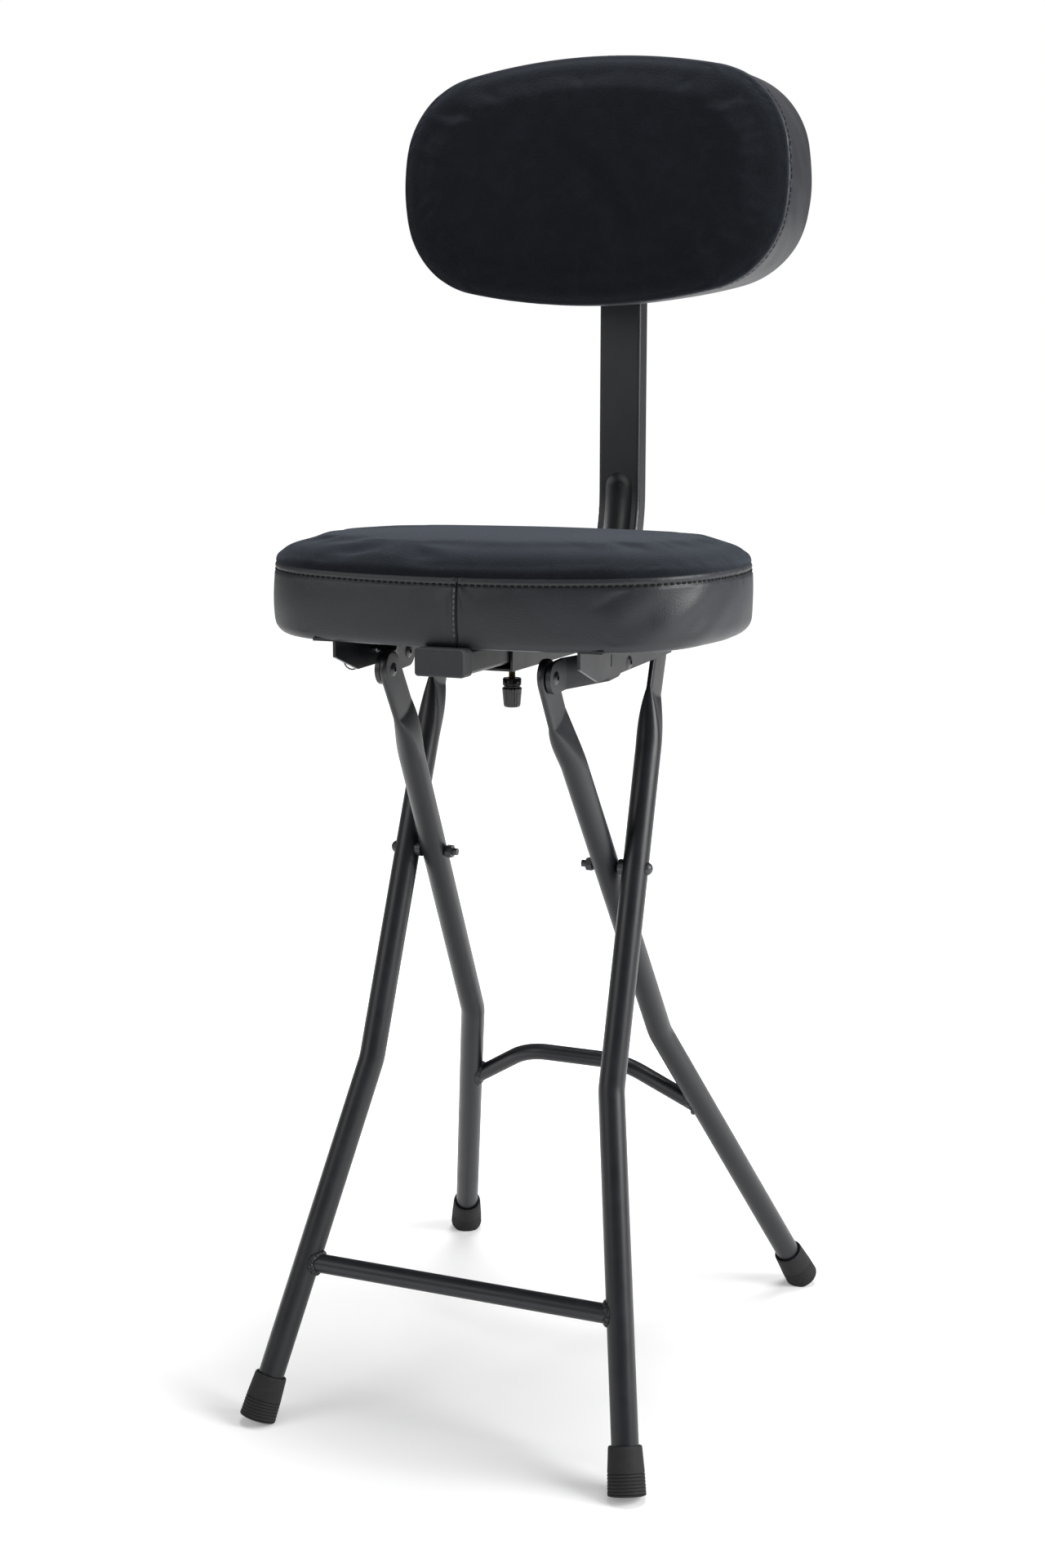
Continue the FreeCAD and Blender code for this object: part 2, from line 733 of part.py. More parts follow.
# Receiver channel for the stem
def receiver():
    """Open-topped channel round the stem with flanges screwed to the board."""
    stem_low = stem_axis_height - stem_depth / 2
    floor_top = stem_low - receiver_gap_below
    low = floor_top - receiver_wall
    outer = receiver_outside
    inner = outer - receiver_wall
    wide = outer + receiver_flange
    shelf = seat_bottom - receiver_wall
    half = [(outer, low), (outer, shelf), (wide, shelf)]
    half += [(wide, seat_bottom), (inner, seat_bottom), (inner, floor_top)]
    section = half + [(-x, z) for x, z in reversed(half)]
    channel = polygon_prism([V(x, receiver_front, z) for x, z in section], Y_AXIS * receiver_length)
    clamp_start = V(0, clamp_place, low)
    holes = [Part.makeCylinder(clamp_diameter / 2 + slide_gap, receiver_wall, clamp_start, Z_AXIS)]
    for place in receiver_screw_places:
        start = place - Z_AXIS * receiver_wall
        holes.append(Part.makeCylinder(screw_diameter / 2 + fit_gap, receiver_wall, start, Z_AXIS))
    return channel.cut(holes), low


parts["stem_receiver"], receiver_low = receiver()
parts["receiver_screws"] = Part.makeCompound([screw(place, receiver_wall) for place in receiver_screw_places])

# Clamp nut, stud and knob
clamp_seat = V(0, clamp_place, receiver_low)
clamp_bore = Part.makeCylinder(clamp_diameter / 2 + running_gap, clamp_nut_height, clamp_seat, Z_AXIS * -1)
parts["clamp_nut"] = hexagon_prism(clamp_nut_width, clamp_seat, Z_AXIS * -clamp_nut_height).cut(clamp_bore)
clamp_tip = V(0, clamp_place, stem_axis_height - stem_depth / 2 - side_gap)
knob_top = receiver_low - clamp_nut_height - stud_show
clamp_end = V(0, clamp_place, knob_top - knob_insert)
parts["clamp_stud"] = axis_cylinder(clamp_diameter / 2, clamp_end, clamp_tip)


def knob():
    """Fluted collar, chamfered flange and tapered grip, bored for the stud."""
    collar = knob_collar_diameter / 2
    flange = knob_flange_diameter / 2
    collar_low = -knob_collar_height
    flange_low = collar_low - knob_flange_height
    grip_low = flange_low - knob_grip_height
    edge = 1.0
    bore = clamp_diameter / 2 + running_gap
    profile = [
        (bore, 0), (collar - edge, 0), (collar, -edge), (collar, collar_low),
        (flange, collar_low - edge / 2), (flange, collar_low - edge),
        (knob_grip_top_diameter / 2, flange_low),
        (knob_grip_diameter / 2, grip_low + edge), (knob_grip_diameter / 2 - edge, grip_low),
        (0, grip_low), (0, -knob_insert - side_gap), (bore, -knob_insert - side_gap),
    ]
    body = turned(profile)
    flutes = []
    for step in range(knob_flutes):
        angle = 2 * math.pi * step / knob_flutes
        place = V(math.cos(angle), math.sin(angle), 0) * (collar + knob_flute_radius / 2)
        flutes.append(Part.makeCylinder(knob_flute_radius, knob_collar_height, place, Z_AXIS * -1))
    body = body.cut(flutes)
    body.translate(V(0, clamp_place, knob_top))
    return body


parts["clamp_knob"] = knob()


# Backrest stem
def stem_path(extra=0.0):
    """Centre line of the stem: along under the seat, round the bend and up."""
    points = [V(0, stem_front - extra, stem_axis_height), V(0, stem_upright, stem_axis_height)]
    return rounded_path(points + [V(0, stem_upright, stem_top + extra)], stem_bend_radius)


def stem_dent(radius):
    """Hollow pressed into the inner side of the bend by the bending former."""
    centre = V(0, stem_upright - stem_bend_radius, stem_axis_height + stem_bend_radius)
    reach = stem_bend_radius - stem_depth / 2 + dent_depth - dent_radius
    spread = math.degrees(dent_overrun / reach)
    start = centre - Z_AXIS * reach
    ring = Part.Face(Part.Wire(Part.makeCircle(radius, start, Y_AXIS)))
    ring.rotate(centre, X_AXIS, -spread)
    trough = ring.revolve(centre, X_AXIS, 90 + 2 * spread)
    ends = []
    for angle in (-spread, 90 + spread):
        ball = Part.makeSphere(radius, start)
        ball.rotate(centre, X_AXIS, angle)
        ends.append(ball)
    return trough.fuse(ends)


def back_stem():
    """Hollow rectangular tube, bent once and dented on the inner side of the bend."""
    start = V(0, stem_front, stem_axis_height)
    outer = swept(stem_path(), rounded_rectangle(stem_width, stem_depth, stem_edge_radius, start))
    inner_start = start - Y_AXIS
    inner = swept(stem_path(1.0), rounded_rectangle(stem_width - 2 * stem_wall, stem_depth - 2 * stem_wall,
                                                    stem_edge_radius - stem_wall, inner_start))
    wall = outer.cut(stem_dent(dent_radius)).cut(inner.cut(stem_dent(dent_radius + stem_wall)))
    holes = []
    for place in back_bolt_places():
        holes.append(Part.makeCylinder(bolt_diameter / 2 + fit_gap, 2 * stem_depth,
                                       place - Y_AXIS * stem_depth, Y_AXIS))
    return wall.cut(holes)


def back_bolt_places():
    """Bolt centres on the stem's front face."""
    face = stem_upright - stem_depth / 2
    low = back_centre_height - back_bolt_spread / 2
    high = back_centre_height + back_bolt_spread / 2
    top = stem_top - 2 * bolt_head_diameter
    return [V(0, face, low), V(0, face, min(high, top))]


parts["back_stem"] = back_stem()


def end_cap():
    """Moulded cap over the stem's front end, with rounded front edges."""
    front_face = stem_front - cap_face
    block = Part.Face(rounded_rectangle(cap_width, cap_height, stem_edge_radius,
                                        V(0, front_face, stem_axis_height))).extrude(Y_AXIS * cap_length)
    rim = [edge for edge in block.Edges if abs(edge.CenterOfMass.y - front_face) < 1e-3]
    block = block.makeFillet(cap_edge_radius, rim)
    socket = Part.Face(rounded_rectangle(stem_width + 2 * fit_gap, stem_depth + 2 * fit_gap, stem_edge_radius,
                                         V(0, stem_front, stem_axis_height))).extrude(Y_AXIS * cap_length)
    return block.cut(socket)


def top_plug():
    """Push-in plug that closes the stem's upper end."""
    top = V(0, stem_upright, stem_top)
    head = Part.Face(rounded_rectangle(stem_width, stem_depth, stem_edge_radius, top, X_AXIS, Y_AXIS))
    head = head.extrude(Z_AXIS * plug_head_height)
    rim = [edge for edge in head.Edges if abs(edge.CenterOfMass.z - stem_top - plug_head_height) < 1e-3]
    head = head.makeFillet(plug_head_height / 2, rim)
    inset = 2 * stem_wall + 2 * fit_gap
    skirt = rounded_rectangle(stem_width - inset, stem_depth - inset, stem_edge_radius - stem_wall,
                              top, X_AXIS, Y_AXIS)
    return head.fuse(Part.Face(skirt).extrude(Z_AXIS * -plug_skirt))


parts["stem_end_cap"] = end_cap()
parts["stem_top_plug"] = top_plug()

# Backrest pad and its bolts
stem_face = stem_upright - stem_depth / 2
back_sizes = (back_half_width, back_half_height, back_long_radius, back_side_radius, back_corner_radius)
back = Pad(back_sizes, back_band, back_crown, back_board_thick,
           V(0, stem_face, back_centre_height), X_AXIS, Z_AXIS, Y_AXIS * -1)
bolts = []
bolt_holes = []
for place in back_bolt_places():
    rear_face = place + Y_AXIS * stem_depth
    tip = place - Y_AXIS * (back_board_thick - fit_gap)
    dome = domed(back_bolt_head_diameter / 2, back_bolt_head_height, rear_face, Y_AXIS)
    bolts.append(axis_cylinder(bolt_diameter / 2, tip, rear_face).fuse(dome))
    bolt_holes.append(Part.makeCylinder(bolt_diameter / 2 + fit_gap, back_board_thick, place, Y_AXIS * -1))
parts["back_board"] = back.board().cut(bolt_holes)
parts["back_side_band"] = back.side()
parts["back_foam"] = back.foam()
parts["back_top_pad"] = back.top()
parts["back_bolts"] = Part.makeCompound(bolts)


# Sprung lock on the left bracket
def lock():
    """Housing, plunger pin, spring and pull ring, from the bracket outwards along -X."""
    face = V(-plate_outside, lock_point.y, lock_point.z)
    out = X_AXIS * -1
    hold = lock_housing_length - lock_end_wall
    housing = axis_cylinder(lock_housing_diameter / 2, face, face + out * lock_housing_length)
    chamber = axis_cylinder(lock_chamber_diameter / 2, face, face + out * hold)
    rod_hole = axis_cylinder(lock_rod_diameter / 2 + running_gap, face, face + out * lock_housing_length)
    housing = housing.cut([chamber, rod_hole])
    collar_start = face + out * side_gap
    collar_end = collar_start + out * lock_collar
    inner_face = face - out * bracket_thick
    nose_end = inner_face - out * (lock_nose - lock_pin_diameter / 2)
    tail = face + out * (lock_housing_length + lock_rod_tail)
    pin = axis_cylinder(lock_pin_diameter / 2, nose_end, collar_start)
    pin = pin.fuse([
        Part.makeSphere(lock_pin_diameter / 2, nose_end),
        axis_cylinder(lock_collar_diameter / 2, collar_start, collar_end),
        axis_cylinder(lock_rod_diameter / 2, collar_end, tail),
    ])
    eye = tail - out * (lock_eye / 2 + 1.4)
    turn = math.radians(ring_turn_angle)
    through = V(math.sin(turn), math.cos(turn), 0)
    across = through * lock_rod_diameter
    pin = pin.cut(axis_cylinder(lock_eye / 2, eye - across, eye + across))
    middle = eye - Z_AXIS * ring_radius
    ring = Part.makeTorus(ring_radius, ring_wire / 2, middle, through.cross(Z_AXIS))
    room = hold - side_gap - lock_collar - 2 * side_gap
    coil_radius = (lock_rod_diameter + lock_chamber_diameter) / 4
    pitch = (room - spring_wire) / spring_turns
    helix = Part.makeHelix(pitch, pitch * spring_turns, coil_radius)
    wire = Part.Wire(helix.Edges)
    corners = []
    for step in range(7):
        angle = math.radians(60 * step)
        corners.append(V(coil_radius + spring_wire / 2 * math.cos(angle), 0, spring_wire / 2 * math.sin(angle)))
    spring = wire.makePipeShell([Part.makePolygon(corners)], True, True)
    start = collar_end + out * (side_gap + spring_wire / 2)
    spring.Placement = FreeCAD.Placement(start, FreeCAD.Rotation(Z_AXIS, out))
    return housing, pin, spring, ring, eye


parts["lock_housing"], parts["lock_pin"], parts["lock_spring"], parts["lock_ring"], ring_eye = lock()

# The origin lies on the floor, midway between the foremost and rearmost points of the feet
foremost = parts["front_foot_right"].BoundBox.YMin
rearmost = parts["rear_foot_right"].BoundBox.YMax
shift = V(0, -(foremost + rearmost) / 2, 0)

os.makedirs("parts", exist_ok=True)
for name, shape in parts.items():
    shape.translate(shift)
    shape.exportStep("parts/" + name + ".step")

points = {"crossing": crossing, "seat_pivot": seat_pivot, "link_pivot": link_pivot}
points.update({"bracket_pivot": bracket_pivot, "clamp": clamp_seat, "lock": lock_point, "ring_eye": ring_eye})
for name, point in points.items():
    placed = point + shift
    print(name, round(placed.x, 3), round(placed.y, 3), round(placed.z, 3))
for name in ("front_foot_right", "rear_foot_right"):
    for face in parts[name].Faces:
        if face.BoundBox.ZMax < 1e-6:
            sole = face.CenterOfMass
            print(name, round(sole.x, 3), round(sole.y, 3), round(face.BoundBox.XLength, 2))
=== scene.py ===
"""Dress the folding guitar stool: sewn pads, legs, welds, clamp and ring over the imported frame."""
import json
import logging
import math
from dataclasses import dataclass
from enum import Enum
from typing import Any

import bmesh
import bpy
import numpy as np
from mathutils import Matrix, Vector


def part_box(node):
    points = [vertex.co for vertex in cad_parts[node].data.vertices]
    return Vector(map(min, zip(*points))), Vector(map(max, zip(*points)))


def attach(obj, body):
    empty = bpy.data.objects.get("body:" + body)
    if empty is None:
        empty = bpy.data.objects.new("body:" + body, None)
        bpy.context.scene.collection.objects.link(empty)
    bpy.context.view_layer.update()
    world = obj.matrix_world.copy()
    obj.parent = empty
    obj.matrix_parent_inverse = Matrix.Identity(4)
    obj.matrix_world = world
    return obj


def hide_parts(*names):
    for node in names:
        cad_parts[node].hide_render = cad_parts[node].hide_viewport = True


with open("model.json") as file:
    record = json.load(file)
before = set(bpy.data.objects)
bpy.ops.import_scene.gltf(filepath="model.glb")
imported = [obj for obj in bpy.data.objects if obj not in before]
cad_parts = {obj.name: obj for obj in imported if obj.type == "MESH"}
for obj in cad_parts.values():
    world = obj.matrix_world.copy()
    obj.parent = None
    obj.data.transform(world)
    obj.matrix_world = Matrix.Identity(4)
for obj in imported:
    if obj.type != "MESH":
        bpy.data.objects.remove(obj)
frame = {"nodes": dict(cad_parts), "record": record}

Array = np.ndarray
# A millimetre in metres, a metre in millimetres, and what stands in for zero in a division
MM, METRE, TINY = 0.001, 1000, 1e-9
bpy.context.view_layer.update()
LOG = logging.getLogger("guitar_stool")


def linear(colour: str) -> tuple[float, float, float, float]:
    """Turn an sRGB hex colour into linear RGBA by the standard curve: a straight foot, then a power.

    Args:
        colour: Hash sign and six hex digits.

    Returns:
        Red, green, blue and alpha for a shader socket.
    """
    srgb = np.array([int(colour[start:start + 2], 16) for start in (1, 3, 5)]) / 255
    rgb = np.where(srgb <= 0.04045, srgb / 12.92, ((srgb + 0.055) / 1.055) ** 2.4)
    return (*rgb.tolist(), 1.0)


def add_node(tree: bpy.types.NodeTree, kind: str, inputs: dict[Any, Any] | None = None,
             **settings: Any) -> bpy.types.Node:
    """Add a shader node with its settings and feed its inputs.

    Args:
        tree: Node tree of a material or the world.
        kind: Node type.
        inputs: Input name or number to a plain value or to the socket that feeds it.
        settings: Properties of the node.

    Returns:
        The new node.
    """
    node = tree.nodes.new(kind)
    for name, value in settings.items():
        setattr(node, name, value)
    for name, value in (inputs or {}).items():
        if isinstance(value, bpy.types.NodeSocket):
            tree.links.new(value, node.inputs[name])
        else:
            node.inputs[name].default_value = value
    return node


def clear_tree(owner: bpy.types.Material | bpy.types.World) -> bpy.types.NodeTree:
    """Switch on the nodes of a material or the world and hand over its emptied tree.

    Args:
        owner: The material or the world.

    Returns:
        Its node tree.
    """
    owner.use_nodes = True
    owner.node_tree.nodes.clear()
    return owner.node_tree


class Grain(Enum):
    """The relief that a surface's making leaves on it."""

    PEEL = "fused powder, a fine orange peel"
    PEBBLE = "embossed hide grain"
    PILE = "cut pile that brushing lays over"
    MOULDED = "spark-eroded mould skin"
    DRAWN = "drawn and plated wire"


@dataclass(frozen=True)
class Finish:
    """A surface finish with its colours, gloss and relief.

    Attributes:
        name: Material name.
        colour: Main colour, sRGB hex.
        patch: Colour of its lighter or worn patches, sRGB hex; on the velvet they are painted sheen.
        patch_mm: Size of those patches.
        patch_share: Share of the patch colour at its strongest.
        roughness: Mean roughness.
        spread: How far roughness wanders either way.
        grain: Kind of relief.
        grain_mm: Spacing of the relief.
        relief_mm: Height of the relief.
        metallic: Metallic level.
        specular: Specular level of the shader.
        sheen: Sheen weight of a pile.
        sheen_tint: Sheen colour, sRGB hex.
        painted_sheen_speck: How strongly the relief's own texture mottles the colour; on the velvet this
            mottling is painted sheen on the pile.
    """

    name: str
    colour: str
    patch: str
    patch_mm: float
    patch_share: float
    roughness: float
    spread: float
    grain: Grain
    grain_mm: float
    relief_mm: float
    metallic: float = 0.0
    specular: float = 0.5
    sheen: float = 0.0
    sheen_tint: str = "#ffffff"
    painted_sheen_speck: float = 0.0

    def build(self) -> bpy.types.Material:
        """Make the material's node tree.

        Returns:
            The finished material.
        """
        material = bpy.data.materials.new(self.name)
        tree = clear_tree(material)
        place = add_node(tree, "ShaderNodeTexCoord").outputs["Object"]
        # Patches of the second colour: tone that wanders at random, except on the velvet, where they are
        # painted sheen
        blotch = add_node(tree, "ShaderNodeTexNoise", {
            "Vector": place, "Scale": METRE / self.patch_mm, "Detail": 5.0, "Roughness": 0.62,
            "Distortion": 0.5})
        share = add_node(tree, "ShaderNodeMapRange", {
            "Value": blotch.outputs["Fac"], "From Min": 0.38, "From Max": 0.72, "To Min": 0.0,
            "To Max": self.patch_share}, interpolation_type="SMOOTHSTEP")
        height = self.relief(tree, place)
        # The patch share, plus the relief times the speck weight: painted sheen on the velvet's pile
        patch_and_sheen_share = add_node(tree, "ShaderNodeMath", {
            0: height, 1: self.painted_sheen_speck, 2: share.outputs["Result"]}, operation="MULTIPLY_ADD")
        # Inputs 6 and 7 of the Mix node are its colours, and output 2 is the mixed one
        colour = add_node(tree, "ShaderNodeMix", {
            0: patch_and_sheen_share.outputs["Value"], 6: linear(self.colour), 7: linear(self.patch)}, data_type="RGBA")
        gloss = add_node(tree, "ShaderNodeMapRange", {
            "Value": blotch.outputs["Fac"], "From Min": 0.3, "From Max": 0.7,
            "To Min": self.roughness - self.spread, "To Max": self.roughness + self.spread})
        bump = add_node(tree, "ShaderNodeBump", {
            "Height": height, "Strength": 1.0, "Distance": self.relief_mm * MM})
        shader = add_node(tree, "ShaderNodeBsdfPrincipled", {
            "Base Color": colour.outputs[2], "Roughness": gloss.outputs["Result"],
            "Normal": bump.outputs["Normal"], "Metallic": self.metallic,
            "Specular IOR Level": self.specular, "Sheen Weight": self.sheen, "Sheen Roughness": 0.6,
            "Sheen Tint": linear(self.sheen_tint)})
        add_node(tree, "ShaderNodeOutputMaterial", {"Surface": shader.outputs["BSDF"]})
        return material

    def relief(self, tree: bpy.types.NodeTree, place: bpy.types.NodeSocket) -> bpy.types.NodeSocket:
        """Add the texture that gives the surface its relief.

        Args:
            tree: The material's node tree.
            place: Socket with object coordinates in metres.

        Returns:
            Height from 0 to 1.
        """
        scale = METRE / self.grain_mm
        if self.grain is Grain.PEBBLE:
            cells = add_node(tree, "ShaderNodeTexVoronoi", {
                "Vector": place, "Scale": scale, "Randomness": 1.0}, feature="DISTANCE_TO_EDGE")
            height = add_node(tree, "ShaderNodeMapRange", {
                "Value": cells.outputs["Distance"], "From Min": 0.0, "From Max": 0.35},
                interpolation_type="SMOOTHSTEP")
            return height.outputs["Result"]
        detail = {Grain.PEEL: 1.0, Grain.PILE: 3.0, Grain.MOULDED: 2.0, Grain.DRAWN: 2.0}[self.grain]
        noise = add_node(tree, "ShaderNodeTexNoise", {
            "Vector": place, "Scale": scale, "Detail": detail, "Roughness": 0.55})
        return noise.outputs["Fac"]


class Finishes(Enum):
    """Every finish on the stool, by the record's slot name where it has one."""

    # Polyester powder baked on steel tube: deep black and satin, with a fine orange peel
    powder_coat = Finish("satin_black_powder_coat", "#0d0f15", "#181b22", patch_mm=30.0, patch_share=0.5,
                         roughness=0.39, spread=0.04, grain=Grain.PEEL, grain_mm=1.6, relief_mm=0.02)
    # PVC leathercloth: charcoal black, with a hide grain drawn coarser than the real 0.8 mm so that it shows
    vinyl = Finish("black_grained_vinyl", "#1d1f24", "#27292f", patch_mm=45.0, patch_share=0.6,
                   roughness=0.48, spread=0.05, grain=Grain.PEBBLE, grain_mm=2.2, relief_mm=0.05,
                   specular=0.45)
    # Short-pile polyester velvet: blue-black, with lighter brushed patches and pile specks that are painted
    # sheen
    velvet = Finish("blue_black_velvet", "#040507", "#1a1d23", patch_mm=19.0, patch_share=0.34,
                    roughness=0.92, spread=0.04, grain=Grain.PILE, grain_mm=1.6, relief_mm=0.45,
                    specular=0.1, sheen=0.5, sheen_tint="#6d747f", painted_sheen_speck=0.6)
    # Moulded natural rubber: dull black with a dusty bloom
    rubber = Finish("moulded_black_rubber", "#1c1c1d", "#2c2b2b", patch_mm=9.0, patch_share=0.6,
                    roughness=0.72, spread=0.06, grain=Grain.MOULDED, grain_mm=1.2, relief_mm=0.05,
                    specular=0.35)
    # Injection-moulded polypropylene with a spark-eroded skin: grey-black and matt
    cap_plastic = Finish("textured_polypropylene", "#2a2b2d", "#343538", patch_mm=8.0, patch_share=0.6,
                         roughness=0.58, spread=0.05, grain=Grain.MOULDED, grain_mm=1.0, relief_mm=0.09,
                         specular=0.4)
    # Polished ABS: black and glossy
    knob_plastic = Finish("polished_black_abs", "#141517", "#1b1c1e", patch_mm=8.0, patch_share=0.5,
                          roughness=0.24, spread=0.04, grain=Grain.MOULDED, grain_mm=1.5, relief_mm=0.008)
    # Passivated zinc on steel: straw yellow with a faint iridescent drift
    zinc_yellow = Finish("yellow_zinc_plate", "#5d5235", "#544a3c", patch_mm=4.0, patch_share=0.8,
                         roughness=0.34, spread=0.06, grain=Grain.DRAWN, grain_mm=0.8, relief_mm=0.01,
                         metallic=1.0)
    # Nickel plate on drawn steel wire and turned bar
    bright_steel = Finish("nickel_plated_steel", "#63666b", "#505257", patch_mm=5.0, patch_share=0.6,
                          roughness=0.28, spread=0.06, grain=Grain.DRAWN, grain_mm=0.8, relief_mm=0.008,
                          metallic=1.0)
    # Black-oxide fasteners: dark steel with a dry edge
    black_steel = Finish("black_oxide_steel", "#222327", "#3b3d42", patch_mm=4.0, patch_share=0.6,
                         roughness=0.38, spread=0.06, grain=Grain.DRAWN, grain_mm=0.9, relief_mm=0.02,
                         specular=0.6)
    # Black spun-bonded dust cloth stapled under a plywood board
    plywood = Finish("black_dust_cloth", "#151516", "#1f1f21", patch_mm=12.0, patch_share=0.7,
                     roughness=0.9, spread=0.04, grain=Grain.PILE, grain_mm=1.4, relief_mm=0.12,
                     specular=0.15)
    # Upholstery foam, closed in by the covers
    foam = Finish("upholstery_foam", "#a39a84", "#8c836d", patch_mm=10.0, patch_share=0.5,
                  roughness=0.95, spread=0.03, grain=Grain.PILE, grain_mm=1.2, relief_mm=0.2,
                  specular=0.1)
    # Bonded polyester thread: black in the stitched line, a lighter charcoal at the band's upright seam
    thread = Finish("black_sewing_thread", "#050506", "#0b0b0d", patch_mm=3.0, patch_share=0.5,
                    roughness=0.7, spread=0.05, grain=Grain.DRAWN, grain_mm=0.6, relief_mm=0.03,
                    specular=0.2)
    seam_thread = Finish("charcoal_sewing_thread", "#4b4c50", "#5c5d61", patch_mm=3.0, patch_share=0.5,
                         roughness=0.5, spread=0.05, grain=Grain.DRAWN, grain_mm=0.6, relief_mm=0.03)


class Wardrobe:
    """Materials made once each and handed out by finish."""

    def __init__(self) -> None:
        """Make every material."""
        self.made = {finish.name: finish.value.build() for finish in Finishes}

    def dress(self, piece: bpy.types.Object, finish: Finishes) -> None:
        """Give a piece one finish as its only material.

        Args:
            piece: Mesh object.
            finish: Its finish.
        """
        piece.data.materials.clear()
        piece.data.materials.append(self.made[finish.name])

    def settle(self, piece: bpy.types.Object, finish: Finishes, body: str, *nodes: str) -> None:
        """Dress a piece, put it on its body and hide the imported nodes that it stands for.

        Args:
            piece: Mesh object.
            finish: Its finish.
            body: CAD body that it rides on.
            nodes: CAD nodes that it replaces.
        """
        self.dress(piece, finish)
        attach(piece, body)
        if nodes:
            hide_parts(*nodes)
        LOG.info("piece %s: %d faces", piece.name, len(piece.data.polygons))

    def dress_frame(self) -> None:
        """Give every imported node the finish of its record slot."""
        for part in frame["record"]["subparts"]:
            node = frame["nodes"][part["node"]]
            node.material_slots[0].material = self.made[part["material_slot"]]
            LOG.info("node %s: %s", part["node"], part["material_slot"])


def unit(vectors: Array) -> Array:
    """Scale vectors along the last axis to length one."""
    return vectors / np.linalg.norm(vectors, axis=-1, keepdims=True)


def grid_faces(rows: int, cols: int, wrap_rows: bool, wrap_cols: bool) -> Array:
    """Corner numbers of the quads of a grid.

    Args:
        rows: Points along the first parameter.
        cols: Points along the second parameter.
        wrap_rows: Whether the last row meets the first.
        wrap_cols: Whether the last column meets the first.

    Returns:
        One line of four corner numbers for each quad.
    """
    index = np.arange(rows * cols).reshape(rows, cols)
    low = index if wrap_rows else index[:-1]
    high = np.roll(index, -1, 0) if wrap_rows else index[1:]
    left, right = (low, high) if wrap_cols else (low[:, :-1], high[:, :-1])
    left_next = np.roll(low, -1, 1) if wrap_cols else low[:, 1:]
    right_next = np.roll(high, -1, 1) if wrap_cols else high[:, 1:]
    return np.stack([left, left_next, right_next, right], -1).reshape(-1, 4)


def capped_faces(rows: int, cols: int) -> list[list[int]]:
    """Faces of a tube of rings, closed by one flat face at each end.

    Args:
        rows: Rings along the tube.
        cols: Points round each ring.

    Returns:
        Corner numbers of each face.
    """
    last = rows * cols
    ends = [list(range(cols)), list(range(last - cols, last))]
    return grid_faces(rows, cols, False, True).tolist() + ends


def full_turn(count: int) -> Array:
    """Angles spaced evenly round a circle."""
    return np.linspace(0, 2 * math.pi, count, endpoint=False)


def corners(node: str) -> list[Array]:
    """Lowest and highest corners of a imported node, in millimetres."""
    return [np.array(corner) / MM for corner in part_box(node)]


def make_piece(name: str, points: Array, faces: list[list[int]],
               crease_deg: float = 40.0) -> bpy.types.Object:
    """Turn points in millimetres and faces into a smooth-shaded object.

    Args:
        name: Object and mesh name.
        points: Points in the row frame, any leading shape.
        faces: Corner numbers of each face.
        crease_deg: Edges sharper than this stay sharp.

    Returns:
        The object, linked to the scene with its place in its mesh.
    """
    mesh = bpy.data.meshes.new(name)
    mesh.from_pydata((points.reshape(-1, 3) * MM).tolist(), [], faces)
    shell = bmesh.new()
    shell.from_mesh(mesh)
    bmesh.ops.recalc_face_normals(shell, faces=shell.faces)
    shell.to_mesh(mesh)
    shell.free()
    mesh.polygons.foreach_set("use_smooth", np.ones(len(mesh.polygons), bool))
    mesh.set_sharp_from_angle(angle=math.radians(crease_deg))
    piece = bpy.data.objects.new(name, mesh)
    bpy.context.scene.collection.objects.link(piece)
    return piece


def tubes(paths: Array, radius: Array, cols: int = 10) -> Array:
    """Round tubes along closed or open lines, each ring square to the line at that point.

    Args:
        paths: Lines as an array of lines, points and coordinates.
        radius: Tube radius at each point, or one that spreads over them.
        cols: Points round the tube.

    Returns:
        Points as lines, rings, points and coordinates.
    """
    # A line nearer to straight up than this is squared to X instead of Z
    steep = 0.9
    along = unit(np.gradient(paths, axis=1))
    helper = np.where(np.abs(along[..., 2:]) < steep, np.array([0.0, 0.0, 1.0]), np.array([1.0, 0.0, 0.0]))
    side = unit(np.cross(along, helper))
    other = np.cross(along, side)
    turn = full_turn(cols)
    ring = side[:, :, None] * np.cos(turn)[:, None] + other[:, :, None] * np.sin(turn)[:, None]
    return paths[:, :, None] + ring * np.broadcast_to(radius, paths.shape[:2])[..., None, None]


@dataclass(frozen=True)
class Fold:
    """A ridge, or a valley where its height is below zero, with a bell-shaped section.

    Attributes:
        height: Height at its middle.
        width: Distance from its middle at which about a third of the height is left.
    """

    height: float
    width: float

    def at(self, distance: Array) -> Array:
        """Height at distances from its middle: a bell curve of distance over width."""
        return self.height * np.exp(-(distance / self.width) ** 2)


